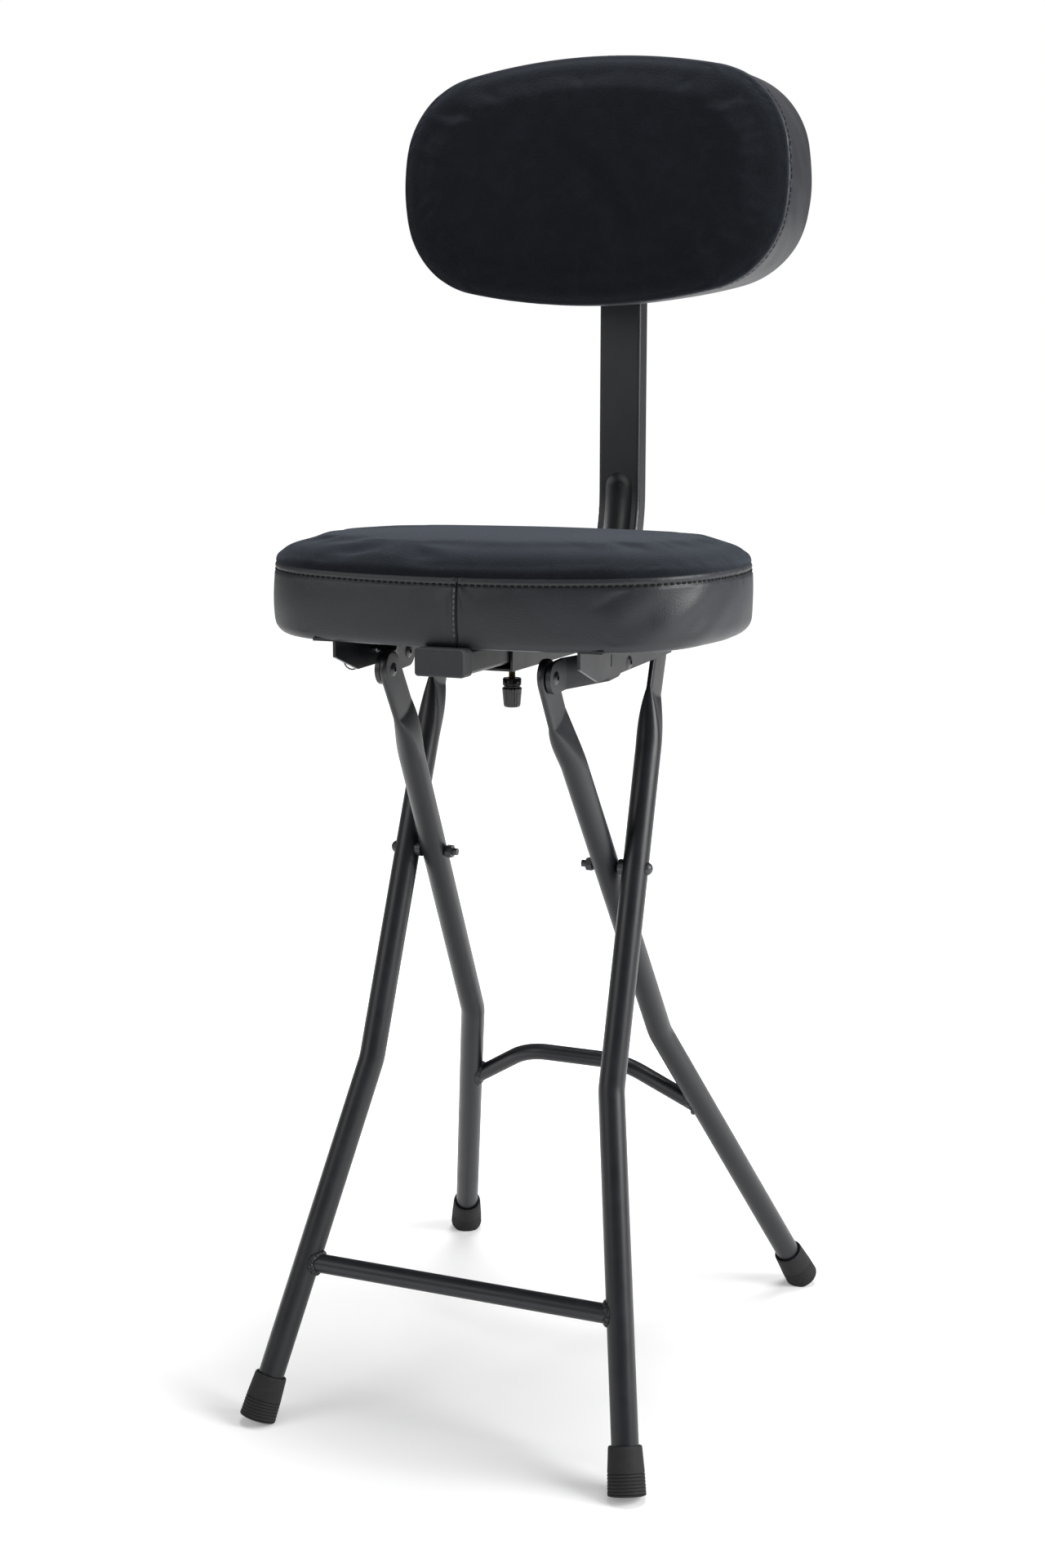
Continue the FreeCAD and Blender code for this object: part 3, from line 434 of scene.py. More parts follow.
@dataclass(frozen=True)
class Crease:
    """A soft crease in a panel: a valley along a slightly bowed line, with a lower ridge beside it.

    Attributes:
        a: Place of its middle across the pad.
        b: Place of its middle along the pad's short side.
        length: Distance from its middle at which it has faded to about a third.
        angle_deg: Its direction, from a towards b.
        width: Width of the valley.
        depth: Depth of the valley.
        bow: How far its line bows for each square millimetre from its middle.
        ridge: Height of the ridge as a share of the depth, then its offset and width as shares of the width.
    """

    a: float
    b: float
    length: float
    angle_deg: float
    width: float
    depth: float
    bow: float = 0.0012
    ridge: tuple[float, float, float] = (0.6, 1.9, 1.3)

    def at(self, a: Array, b: Array) -> Array:
        """Change of height at points of the panel.

        A bell-shaped valley with a bell-shaped ridge beside it, fading as a fourth power towards the ends.

        Args:
            a: Place across the pad.
            b: Place along its short side.

        Returns:
            Height to add at each point.
        """
        angle = math.radians(self.angle_deg)
        along = (a - self.a) * math.cos(angle) + (b - self.b) * math.sin(angle)
        across = (b - self.b) * math.cos(angle) - (a - self.a) * math.sin(angle) + self.bow * along ** 2
        high, offset, wide = self.ridge
        valley = Fold(-self.depth, self.width).at(across)
        ridge = Fold(high * self.depth, wide * self.width).at(across - offset * self.width)
        return np.exp(-(along / self.length) ** 4) * (valley + ridge)


@dataclass(frozen=True)
class Sewing:
    """How a band is sewn and how its vinyl lies.

    Attributes:
        drop: Distance of the stitched line below the seam.
        pitch: Distance from stitch to stitch.
        half_stitch: Half the length of a stitch.
        lift: How far a stitch stands off the drawn face.
        thread: Radius of the thread.
        dip: Valley along the stitched line.
        seam_dip: Valley along the seam.
        upright_dip: Valley along the band's upright seam.
        upright_start: Distance below the seam at which that valley is at its full depth.
        upright_lip: Ridge on either side of the upright seam.
        lip_offset: Distance of those ridges from it.
        upright_gap: Distance from the stitched line to the upright seam's first stitch.
        upright_pitch: Pitch of the upright seam's stitches as a share of the pitch.
        upright_half: Half the length of such a stitch.
        upright_lift: How far it stands off the drawn face.
        upright_offset: Distance of those stitches from the seam.
        puckers: Waves along the edge, each as millimetres to a radian and a phase.
        pucker_height: Height of those waves at the stitched line.
        pucker_fade: Distance from that line at which about a third of it is left.
        pucker_least: Share of the puckers that the long edges keep.
        sag_height: Height of slow waves over the whole band.
        sag_steps: Their millimetres to a radian, along the edge and down.
        slack_height: Height of the slanting creases.
        slack_reach: Distance along the edge over which they fade.
        slack_slant: How much distance along the edge and down count in their waves.
        slack_step: Their millimetres to a radian.
    """

    drop: float = 6.5
    pitch: float = 5.4
    half_stitch: float = 2.2
    lift: float = 0.9
    thread: float = 0.75
    dip: Fold = Fold(-1.7, 1.1)
    seam_dip: Fold = Fold(-1.2, 0.9)
    upright_dip: Fold = Fold(-1.4, 0.8)
    upright_start: float = 4.0
    upright_lip: Fold = Fold(0.4, 1.8)
    lip_offset: float = 3.2
    upright_gap: float = 4.0
    upright_pitch: float = 0.8
    upright_half: float = 1.8
    upright_lift: float = 0.35
    upright_offset: float = 1.6
    puckers: tuple[tuple[float, float], ...] = ((1.55, 0.0), (2.37, 1.0), (3.9, 2.2))
    pucker_height: float = 0.3
    pucker_fade: float = 5.0
    pucker_least: float = 0.25
    sag_height: float = 0.5
    sag_steps: tuple[float, float] = (37.0, 21.0)
    slack_height: float = 0.9
    slack_reach: float = 48.0
    slack_slant: tuple[float, float] = (0.75, 1.15)
    slack_step: float = 6.5


@dataclass
class Pad:
    """A sewn pad: velvet panel, vinyl band and stitching on a board, built in the board's own axes.

    Local points are (a, b, h): across, along the board's short side, and out from the board's underside.

    Attributes:
        name: Prefix of its pieces and nodes.
        body: CAD body that it rides on.
        axes: Rows are the row-frame directions of a, b and h.
        half_a: Half of the long side.
        half_b: Half of the short side.
        long_radius: Radius of the long edges.
        side_radius: Radius of the short edges.
        corner: Radius of the corners.
        seam: Height of the seam at the middle of the long edges.
        seam_rise: How much higher the seam is at the short edges.
        top: Height of the crown.
        tuck: How far the band's lower edge rolls under.
        bulge: How far the band stands out between its edges.
        shoulder: Height of the panel's rounded shoulder; the crown rises the rest of the way.
        joint_a: Place of the band's upright seam, measured along a on the lower edge.
        slack_run: Distance along the edge where the band creases aslant.
        taper: How far the band draws in towards the board along its lower side.
        droop: How far the band hangs below the board along its lower side.
        end_tuck: How much further it rolls under at its other sides.
        creases: Soft creases in the panel.
        sewing: How the band is sewn.
        columns: Points round the edge.
        arc_points: Points on each arc of the edge, before they are spaced evenly.
        grid: Quads of the panel along a and along b.
        seam_power: How late the seam rises towards the short edges.
        bulge_power: How flat the band's bulge is.
        shoulder_power: How tight the panel's shoulder is.
        crown_powers: How late the crown falls towards the edge, and how round it is.
        crowding: How much the panel's rings crowd towards the edge.
        wander: Height of the panel's slow unevenness.
        sewn_ring: Ring of the panel outside which it is sewn down.
        band_swell: Furthest that the cloth pass may move the band.
        panel_swell: Furthest that it may move the panel.
        fill: How full the pad is, from 0 to 1; not used.
    """

    name: str
    body: str
    axes: Array
    half_a: float
    half_b: float
    long_radius: float
    side_radius: float
    corner: float
    seam: float
    seam_rise: float
    top: float
    tuck: float
    bulge: float
    shoulder: float
    joint_a: float
    slack_run: float
    taper: float
    droop: float
    end_tuck: float
    creases: tuple[Crease, ...]
    sewing: Sewing = Sewing()
    columns: int = 480
    arc_points: int = 400
    grid: tuple[int, int] = (108, 72)
    seam_power: float = 2.2
    bulge_power: float = 0.8
    shoulder_power: int = 12
    crown_powers: tuple[float, float] = (2.4, 0.8)
    crowding: float = 1.45
    wander: float = 0.7
    sewn_ring: float = 0.965
    band_swell: float = 1.5
    panel_swell: float = 2.0
    fill: float = 0.9

    def __post_init__(self) -> None:
        """Find the board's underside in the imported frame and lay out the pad's outline."""
        low, high = corners(f"{self.name}_board")
        outward = self.axes[2]
        self.base = (low + high) / 2 - outward * abs(outward @ (high - low)) / 2
        self.outline, self.outward, self.length = self.trace()

    def trace(self) -> tuple[Array, Array, float]:
        """Lay out the edge as long arcs, side arcs and corner arcs that meet smoothly.

        The corner arc's centre lies a corner radius inside both arcs, where two circles about their centres
        cross.

        Returns:
            Points spaced evenly along the edge from the middle of the lower long side, outward normals there,
            and the edge's whole length.
        """
        long_centre, side_centre = self.half_b - self.long_radius, self.half_a - self.side_radius
        gap = math.hypot(side_centre, long_centre)
        reach_long, reach_side = self.long_radius - self.corner, self.side_radius - self.corner
        along = (reach_long ** 2 - reach_side ** 2 + gap ** 2) / (2 * gap)
        off = math.sqrt(reach_long ** 2 - along ** 2)
        way = np.array([side_centre, -long_centre]) / gap
        square = np.array([way[1], -way[0]])
        options = [np.array([0, long_centre]) + way * along + square * off * sign for sign in (1, -1)]
        centre = max(options, key=lambda point: point[0])
        turn_long = math.atan2(centre[1] - long_centre, centre[0])
        turn_side = math.atan2(centre[1], centre[0] - side_centre)
        arcs = [((0, long_centre), self.long_radius, math.pi / 2, turn_long),
                (centre, self.corner, turn_long, turn_side),
                ((side_centre, 0), self.side_radius, turn_side, 0)]
        turns = [np.linspace(start, stop, self.arc_points) for *_, start, stop in arcs]
        quarter = np.concatenate([
            np.array(middle) + radius * np.stack([np.cos(turn), np.sin(turn)], -1)
            for (middle, radius, *_), turn in zip(arcs, turns)])
        half = np.concatenate([quarter * [1, -1], quarter[::-1]])
        loop = np.concatenate([half, half[::-1] * [-1, 1]])
        run = np.concatenate([[0], np.cumsum(np.linalg.norm(np.diff(loop, axis=0), axis=1))])
        even = np.linspace(0, run[-1], self.columns, endpoint=False)
        points = np.stack([np.interp(even, run, loop[:, k]) for k in (0, 1)], -1)
        tangent = unit(np.roll(points, -1, 0) - np.roll(points, 1, 0))
        return points, np.stack([tangent[:, 1], -tangent[:, 0]], -1), float(run[-1])

    def place(self, local: Array) -> Array:
        """Carry local points into the row frame."""
        return self.base + local @ self.axes

    def seam_height(self, a: Array) -> Array:
        """Height of the seam, which rises towards the short edges as a power of the distance along a."""
        return self.seam + self.seam_rise * np.abs(a / self.half_a) ** self.seam_power

    def at(self, run: Array) -> tuple[Array, Array]:
        """Edge points and outward normals, blended between the two nearest points of the outline.

        Args:
            run: Distance along the edge.

        Returns:
            Points and normals as (a, b).
        """
        spot = np.mod(run / self.length, 1) * self.columns
        low = np.floor(spot).astype(int) % self.columns
        share = (spot - np.floor(spot))[..., None]
        high = (low + 1) % self.columns
        return (self.outline[low] * (1 - share) + self.outline[high] * share,
                unit(self.outward[low] * (1 - share) + self.outward[high] * share))

    def band_depth(self, run: Array) -> Array:
        """Depth of the band from the seam to its lower edge, with its droop along the lower side."""
        edge, outward = self.at(run)
        return self.seam_height(edge[..., 0]) + self.droop * np.clip(-outward[..., 1], 0, 1)

    def band_points(self, run: Array, drop: Array) -> Array:
        """Points on the band's face.

        The face stands out as half a sine between the seam and the lower edge, rolls under at the bottom as a
        quarter circle, and dips at the seam, the stitched line and the upright seam. Short puckers fade away
        from the stitched line, slow waves cross the whole face, and creases slant over it where it is slack.

        Args:
            run: Distance along the edge.
            drop: Distance below the seam as a share of the band's depth.

        Returns:
            Points in the row frame.
        """
        sewing = self.sewing
        edge, outward = self.at(run)
        front = np.clip(-outward[..., 1], 0, 1)
        seam = self.seam_height(edge[..., 0])
        depth = self.band_depth(run)
        below = drop * depth
        tuck = self.tuck + self.end_tuck * (1 - front ** 2)
        arch = np.sin(math.pi * np.clip(drop, 0, 1))
        stand = self.bulge * arch ** self.bulge_power
        roll = np.clip((below - depth + tuck) / tuck, 0, 1)
        stand -= tuck * (1 - np.sqrt(np.clip(1 - roll ** 2, 0, 1)))
        stand -= self.taper * np.clip(drop, 0, 1) * front ** 2
        stand += sewing.dip.at(below - sewing.drop)
        stand += sewing.seam_dip.at(below)
        joint = (run - self.joint_a + self.length / 2) % self.length - self.length / 2
        stand += sewing.upright_dip.at(joint) * np.clip(below / sewing.upright_start, 0, 1)
        stand += sewing.upright_lip.at(np.abs(joint) - sewing.lip_offset)
        ripple = sum(np.sin(run / step + phase) for step, phase in sewing.puckers)
        bend = np.clip(1 - np.abs(edge[..., 1]) / self.half_b, sewing.pucker_least, 1)
        near = np.exp(-np.abs(below - sewing.drop) / sewing.pucker_fade)
        stand += sewing.pucker_height * ripple * bend * near
        step_along, step_down = sewing.sag_steps
        stand += sewing.sag_height * np.sin(run / step_along + below / step_down) * arch
        slack = np.exp(-((run - self.slack_run) / sewing.slack_reach) ** 2) * arch
        along, down = sewing.slack_slant
        stand += sewing.slack_height * slack * np.sin((along * run + down * below) / sewing.slack_step)
        flat = edge + outward * stand[..., None]
        return self.place(np.concatenate([flat, (seam - below)[..., None]], -1))

    def band(self) -> bpy.types.Object:
        """Build the vinyl band: its face, a hem rolled under the board and an inner wall that closes it.

        Returns:
            The band's object.
        """
        # Shares of the depth between which the face is plain, and the reach of the hem beyond the roll
        stitched, rolled, hem = 0.2, 0.86, 9
        # Rows that the cloth pass leaves alone at the top and at the bottom
        sewn_rows, rolled_rows = 3, 6
        even = np.linspace(0, self.length, self.columns, endpoint=False)
        beside_seam = self.joint_a + np.linspace(-6, 6, 25)
        run = np.unique(np.concatenate([even, beside_seam % self.length]))
        edge, outward = self.at(run)
        drops = np.concatenate([np.linspace(0, stitched, 9)[:-1], np.linspace(stitched, rolled, 14)[:-1],
                                np.linspace(rolled, 1.0, 8)])
        face = self.band_points(*np.meshgrid(run, drops))
        depth = self.seam_height(edge[:, 0])
        inside = self.tuck + self.end_tuck + hem
        # Inner wall from the board's underside up to the seam, each as distance in from the edge and height
        wall = [(inside, 0.0 * depth), (inside, 0.5 * depth), (6.0, depth - 4.0), (1.6, depth - 1.2)]
        inner = [self.place(np.column_stack([edge - outward * inset, height])) for inset, height in wall]
        points = np.concatenate([face, np.array(inner)])
        faces = grid_faces(len(points), len(run), True, True)
        piece = make_piece(f"{self.name}_vinyl", points, faces.tolist())
        held = np.ones(points.shape[:2], bool)
        held[sewn_rows:len(drops) - rolled_rows] = False
        self.swell(piece, held.ravel(), self.band_swell)
        return piece

    def panel_height(self, a: Array, b: Array, share: Array) -> Array:
        """Height of the velvet.

        It goes from the seam up a tight round shoulder to a shallow crown, with soft creases and slow waves.

        Args:
            a: Place across the pad.
            b: Place along its short side.
            share: How far out the point is, from 0 at the middle to 1 at the edge.

        Returns:
            Height above the board's underside.
        """
        seam = self.seam_height(a)
        late, rounded = self.crown_powers
        height = seam + self.shoulder * np.sqrt(np.clip(1 - share ** self.shoulder_power, 0, 1))
        height += (self.top - self.shoulder - seam) * np.clip(1 - share ** late, 0, 1) ** rounded
        height += sum(crease.at(a, b) for crease in self.creases)
        # Millimetres to a radian of the slow waves along a, along b and aslant
        step_a, step_b, step_aslant = 41, 33, 58
        waves = np.sin(a / step_a + 0.7) * np.sin(b / step_b) + np.sin((a + b) / step_aslant + 1.9)
        return height + self.wander * waves * np.clip(1 - share ** 4, 0, 1)

    def panel(self) -> bpy.types.Object:
        """Build the velvet panel on nested rings of a square grid, closed by a flat grid under it.

        Each ring is the pad's outline made smaller, and the rings crowd towards the edge as a power.

        Returns:
            The panel's object.
        """
        wide, deep = self.grid
        u, v = np.meshgrid(np.linspace(-1, 1, wide + 1), np.linspace(-1, 1, deep + 1))
        ring = np.maximum(np.maximum(np.abs(u), np.abs(v)), TINY)
        u1, v1 = u / ring, v / ring
        side_a, side_b = self.half_a, self.half_b
        perimeter = 4 * (side_a + side_b)
        run = np.select(
            [v1 <= -1 + TINY, u1 >= 1 - TINY, v1 >= 1 - TINY],
            [u1 * side_a, side_a + side_b + v1 * side_b, 2 * side_a + 2 * side_b - u1 * side_a],
            3 * side_a + 3 * side_b - v1 * side_b)
        edge, outward = self.at(run / perimeter * self.length)
        share = 1 - (1 - ring) ** self.crowding
        flat = edge * share[..., None]
        top = np.concatenate([flat, self.panel_height(flat[..., 0], flat[..., 1], share)[..., None]], -1)
        count = top.shape[0] * top.shape[1]
        index = np.arange(count).reshape(top.shape[:2])
        rim = np.concatenate([index[0, :-1], index[:-1, -1], index[-1, :0:-1], index[:0:-1, 0]])
        seam = self.seam_height(edge[..., 0])[..., None]
        # Under the panel: a lip just inside the seam and a flat grid below it, each a distance in and down
        lip_in, lip_down, under_in, under_down = 0.9, 1.6, 3.0, 5.0
        under = np.concatenate([(edge - outward * under_in) * ring[..., None], seam - under_down], -1)
        lip = np.concatenate([edge - outward * lip_in, seam - lip_down], -1).reshape(-1, 3)[rim]
        panels = grid_faces(*top.shape[:2], False, False)
        hem = 2 * count + np.arange(len(rim))
        loops = (rim, hem, rim + count)
        strips = [np.stack([upper, np.roll(upper, -1), np.roll(lower, -1), lower], -1)
                  for upper, lower in zip(loops, loops[1:])]
        faces = np.concatenate([panels, panels[:, ::-1] + count, *strips]).tolist()
        stacked = np.concatenate([top.reshape(-1, 3), under.reshape(-1, 3), lip])
        piece = make_piece(f"{self.name}_velvet", self.place(stacked), faces, crease_deg=75.0)
        held = np.ones(len(stacked), bool)
        held[:count] = (ring > self.sewn_ring).ravel()
        self.swell(piece, held, self.panel_swell)
        return piece

    def swell(self, piece: bpy.types.Object, held: Array, cap_mm: float) -> None:
        """Swell a cover with Blender's cloth under pressure, apply it and add one subdivision.

        Args:
            piece: Cover to swell.
            held: Whether each point is sewn down.
            cap_mm: Furthest that a point may move.
        """
        frames = range(1, 21)
        group = piece.vertex_groups.new(name="sewn")
        group.add(np.flatnonzero(held).tolist(), 1.0, "REPLACE")
        cloth = piece.modifiers.new("swell", "CLOTH")
        settings = cloth.settings
        settings.quality = 2
        settings.tension_stiffness = settings.compression_stiffness = 12
        settings.bending_stiffness = 0.4
        settings.use_pressure = True
        settings.uniform_pressure_force = 4
        settings.vertex_group_mass = group.name
        settings.effector_weights.gravity = 0
        cloth.point_cache.frame_start, cloth.point_cache.frame_end = frames[0], frames[-1]
        for step in frames:
            bpy.context.scene.frame_set(step)
        solved = piece.evaluated_get(bpy.context.evaluated_depsgraph_get())
        before, after = (np.empty(len(held) * 3, np.float32) for _ in range(2))
        piece.data.vertices.foreach_get("co", before)
        solved.data.vertices.foreach_get("co", after)
        move = (after - before).reshape(-1, 3)
        size = np.linalg.norm(move, axis=1, keepdims=True)
        move *= np.minimum(1, cap_mm * MM / np.maximum(size, TINY))
        LOG.info("%s swelled by up to %.2f mm", piece.name, min(float(size.max()) / MM, cap_mm))
        piece.modifiers.remove(cloth)
        piece.vertex_groups.remove(group)
        piece.data.vertices.foreach_set("co", before + move.ravel())
        piece.data.update()
        bpy.context.scene.frame_set(frames[0])
        smooth = piece.modifiers.new("smooth", "SUBSURF")
        smooth.levels = smooth.render_levels = 1

    def thread(self, name: str, run: Array, below: Array, way: tuple[float, float],
               lift: float) -> bpy.types.Object:
        """Lay short threads on the band, whose radius falls from the middle as the root of a fourth power.

        Args:
            name: Piece name.
            run: Distance of each stitch along the edge.
            below: Its distance below the seam.
            way: Half of a stitch, along the edge and downwards.
            lift: How far it stands off the drawn face, which smoothing fills a little.

        Returns:
            The stitches as one object.
        """
        depth = self.band_depth(run)
        start, middle, end = (self.band_points(run + way[0] * step, (below + way[1] * step) / depth)
                              for step in (-1, 0, 1))
        outward = self.at(run)[1] @ self.axes[:2]
        rings, cols, blunt = 6, 6, 1.05
        share = np.linspace(-1, 1, rings)[:, None]
        lines = (middle + outward * lift)[:, None] + (end - start)[:, None] / 2 * share
        radius = self.sewing.thread * np.sqrt(np.clip(blunt - share[:, 0] ** 4, 0, 1))
        points = tubes(lines, radius[None], cols)
        sides = grid_faces(rings, cols, False, True)
        ends = np.arange(cols) + np.array([[0], [(rings - 1) * cols]])
        stride = np.arange(len(lines))[:, None, None] * rings * cols
        faces = [face for part in (sides, ends)
                 for face in (part + stride).reshape(-1, part.shape[1]).tolist()]
        return make_piece(name, points, faces)

    def stitches(self) -> list[tuple[bpy.types.Object, Finishes]]:
        """Stitch the line below the velvet and the band's upright seam.

        Returns:
            Both sets of stitches with their finishes.
        """
        sewing = self.sewing
        count = int(self.length / sewing.pitch)
        run = np.arange(count) * self.length / count
        round_line = self.thread(f"{self.name}_stitching", run, np.full(count, sewing.drop),
                                 (sewing.half_stitch, 0.0), sewing.lift)
        down = np.arange(sewing.drop + sewing.upright_gap, self.seam - self.tuck,
                         sewing.pitch * sewing.upright_pitch)
        upright = self.thread(f"{self.name}_seam_stitching",
                              np.full_like(down, self.joint_a - sewing.upright_offset), down,
                              (0.0, sewing.upright_half), sewing.upright_lift)
        return [(round_line, Finishes.thread), (upright, Finishes.seam_thread)]

    def build(self, wardrobe: Wardrobe) -> None:
        """Make the pad's pieces, dress them and put them on their body.

        Args:
            wardrobe: Materials to dress them in.
        """
        panel, band = self.panel(), self.band()
        wardrobe.settle(panel, Finishes.velvet, self.body, f"{self.name}_top_pad", f"{self.name}_foam")
        wardrobe.settle(band, Finishes.vinyl, self.body, f"{self.name}_side_band")
        for piece, finish in self.stitches():
            wardrobe.settle(piece, finish, self.body)


@dataclass
class Weld:
    """Fillet welds where a crossbar's two ends meet the legs.

    Attributes:
        name: Piece name.
        body: CAD body that it rides on.
        joint: Middle of the right-hand joint on the leg's axis.
        leg: Direction of the leg's axis.
        bar: Direction of the bar, from the leg towards the middle.
        leg_radius: Outer radius of the leg tube.
        bar_radius: Outer radius of the bar.
        bead: Radius of the weld bead.
        ripples: Waves round the bead, each as a share of its radius, a count and a phase.
    """

    name: str
    body: str
    joint: Array
    leg: Array
    bar: Array
    leg_radius: float
    bar_radius: float
    bead: float = 2.7
    ripples: tuple[tuple[float, int, float], ...] = ((0.13, 17, 0.0), (0.17, 5, 1.3), (0.07, 29, 0.0))

    def build(self, wardrobe: Wardrobe) -> None:
        """Lay a rippled bead along the line where bar and leg meet, and mirror it.

        A point of the line lies on the bar's wall, as far out as puts it a leg radius from the leg's axis.

        Args:
            wardrobe: Materials to dress it in.
        """
        rings, cols = 97, 12
        turn = np.linspace(0, 2 * math.pi, rings)
        side = unit(np.cross(self.bar, self.leg))
        other = np.cross(side, self.bar)
        wall = self.bar_radius * (np.cos(turn)[:, None] * side + np.sin(turn)[:, None] * other)
        bar_part = self.bar - (self.bar @ self.leg) * self.leg
        wall_part = wall - (wall @ self.leg)[:, None] * self.leg
        cross, square = wall_part @ bar_part, bar_part @ bar_part
        spare = (wall_part ** 2).sum(1) - self.leg_radius ** 2
        out = (-cross + np.sqrt(cross ** 2 - square * spare)) / square
        line = self.joint + wall + out[:, None] * self.bar
        waves = sum(share * np.sin(turn * count + phase) for share, count, phase in self.ripples)
        right = tubes(line[None], (self.bead * (1 + waves))[None], cols)[0][:-1]
        points = np.stack([right, right * [-1, 1, 1]])
        faces = grid_faces(*right.shape[:2], True, True)
        both = np.concatenate([faces, faces + right.shape[0] * right.shape[1]])
        piece = make_piece(self.name, points, both.tolist(), crease_deg=80.0)
        wardrobe.settle(piece, Finishes.powder_coat, self.body)


@dataclass
class LegFrame:
    """A pair of legs drawn flat in X and Z about the crossing axis, then leaned.

    Attributes:
        name: Prefix of its pieces and nodes.
        lean_deg: Lean of the plane, with the top to the rear where it is above zero.
        half_at_pivot: Distance of the leg's axis from the middle plane at the crossing.
        slope: How fast that distance shrinks going up.
        half_at_floor: The same distance at the floor.
        reach: Distance from the crossing to the eye in the flattened top.
        flat_middle: Distance of the flattened top from the middle plane.
        flat_thick: Thickness of the flattened top.
        pivot_height: Height of the crossing axis.
        pivot_y: Its place along Y.
        bend_height: Height of the leg's bend.
        bend_radius: Radius of the bend.
        radius: Outer radius of the tube.
        flat_half: Half the width of the flattened top.
        flat_length: Distance from the eye down to the neck.
        flat_tongue: How much further down the flat reaches in its middle.
        neck: Length over which the flat opens into the tube.
        open_powers: How early the tube's thickness grows and its flat core shrinks along the neck.
        foot_radius: Radius of the foot's sole.
        foot_sink: How far the sole's low edge is worn away.
        foot_height: Height of the foot.
        tube_end: How far inside the foot the tube ends.
    """

    name: str
    lean_deg: float
    half_at_pivot: float
    slope: float
    half_at_floor: float
    reach: float
    flat_middle: float
    flat_thick: float
    pivot_height: float = 467.0
    pivot_y: float = -53.617
    bend_height: float = 294.5
    bend_radius: float = 60.0
    radius: float = 11.0
    flat_half: float = 15.0
    flat_length: float = 42.0
    flat_tongue: float = 7.0
    neck: float = 50.0
    open_powers: tuple[float, float] = (2.2, 1.7)
    foot_radius: float = 15.5
    foot_sink: float = 2.6
    foot_height: float = 38.0
    tube_end: float = 16.0

    def __post_init__(self) -> None:
        """Place the bend and the floor point in the flat drawing."""
        self.rise = math.cos(math.radians(self.lean_deg))
        bend_up = (self.bend_height - self.pivot_height) / self.rise
        self.bend = np.array([self.half_at_pivot - self.slope * bend_up, bend_up])
        self.floor = np.array([self.half_at_floor, -self.pivot_height / self.rise])
        self.down = unit(self.floor - self.bend)

    def stand(self, flat: Array) -> Array:
        """Lean flat points about the crossing axis, a turn about X, into the row frame.

        Args:
            flat: Points as (across, out of plane, up).

        Returns:
            Points in the row frame.
        """
        lean = math.radians(self.lean_deg)
        y = flat[..., 1] * math.cos(lean) + flat[..., 2] * math.sin(lean) + self.pivot_y
        z = flat[..., 2] * math.cos(lean) - flat[..., 1] * math.sin(lean) + self.pivot_height
        return np.stack([flat[..., 0], y, z], -1)

    def at(self, height: float) -> Array:
        """Point of the right-hand lower leg's axis at a height above the floor."""
        spot = self.floor + (self.bend - self.floor) * height / self.bend_height
        return self.stand(np.array([spot[0], 0.0, spot[1]]))

    def leg(self) -> Array:
        """Direction of the right-hand lower leg's axis, upwards."""
        return unit(self.at(self.bend_height) - self.at(0.0))

    def path(self) -> Array:
        """Centre line of the right-hand leg in the flat drawing, from the top down.

        The flattened top runs straight up; below it the line eases over to the tube's own line as a cubic,
        bends once as a quadratic curve and runs to the inside of the foot.

        Returns:
            Points as (across, up).
        """
        up_way = unit(np.array([-self.slope, 1.0]))
        tangent = self.bend_radius * math.tan((math.pi - math.acos(up_way @ self.down)) / 2)
        share = np.linspace(0, 1, 16)[:, None]
        arc = ((1 - share) ** 2 * (self.bend + up_way * tangent) + 2 * share * (1 - share) * self.bend
               + share ** 2 * (self.bend + self.down * tangent))
        flat_low = self.reach - self.flat_length
        # The sweep ends just short of the rounded top's point, and the close rings end below the neck
        tip_share, below_neck = 0.985, 14
        top, low = self.reach + tip_share * self.flat_half, flat_low - self.neck - below_neck
        ups = np.concatenate([np.linspace(top, self.reach, 14)[:-1], np.linspace(self.reach, low, 80)[:-1],
                              np.linspace(low, arc[0, 1], 24)[:-1]])
        ease = np.clip((flat_low - ups) / self.neck, 0, 1)
        ease = ease ** 2 * (3 - 2 * ease)
        line = self.half_at_pivot - self.slope * ups
        upper = np.column_stack([self.flat_middle + (line - self.flat_middle) * ease, ups])
        foot = self.floor - self.down * self.tube_end
        lower = arc[-1] + (foot - arc[-1]) * np.linspace(0, 1, 24)[1:, None]
        return np.concatenate([upper, arc, lower])

    def leg_points(self) -> Array:
        """Sweep the right-hand leg.

        Each section is a line widened by a round edge: the line shrinks to nothing and the edge grows to the
        tube's radius as the flattened top opens into the tube. The flat reaches further down in its middle.

        Returns:
            Rings of points in the row frame.
        """
        line = self.path()
        turn = full_turn(48)
        across, wide = np.cos(turn), np.sin(turn)
        # How much higher the flat ends at its edges, and the sine of the turn at which its core is fully out
        edge_up, core_span = 4, 0.35
        begin = self.reach - self.flat_length + edge_up - self.flat_tongue * (1 - np.abs(wide))
        share = np.clip((begin - line[:, 1:]) / self.neck, 0, 1)
        thin = self.flat_thick / 2
        grow, shrink = self.open_powers
        thick = thin + (self.radius - thin) * (1 - (1 - share) ** grow)
        core = (self.flat_half - thin) * (1 - share) ** shrink
        over = np.clip((line[:, 1:] - self.reach) / self.flat_half, 0, 1)
        out = (thick * wide + core * np.clip(wide / core_span, -1, 1)) * np.sqrt(1 - over ** 2)
        way = unit(np.gradient(line, axis=0))
        side = thick * across
        flat = np.stack([line[:, :1] + side * way[:, 1:], out, line[:, 1:] - side * way[:, :1]], -1)
        return self.stand(flat)

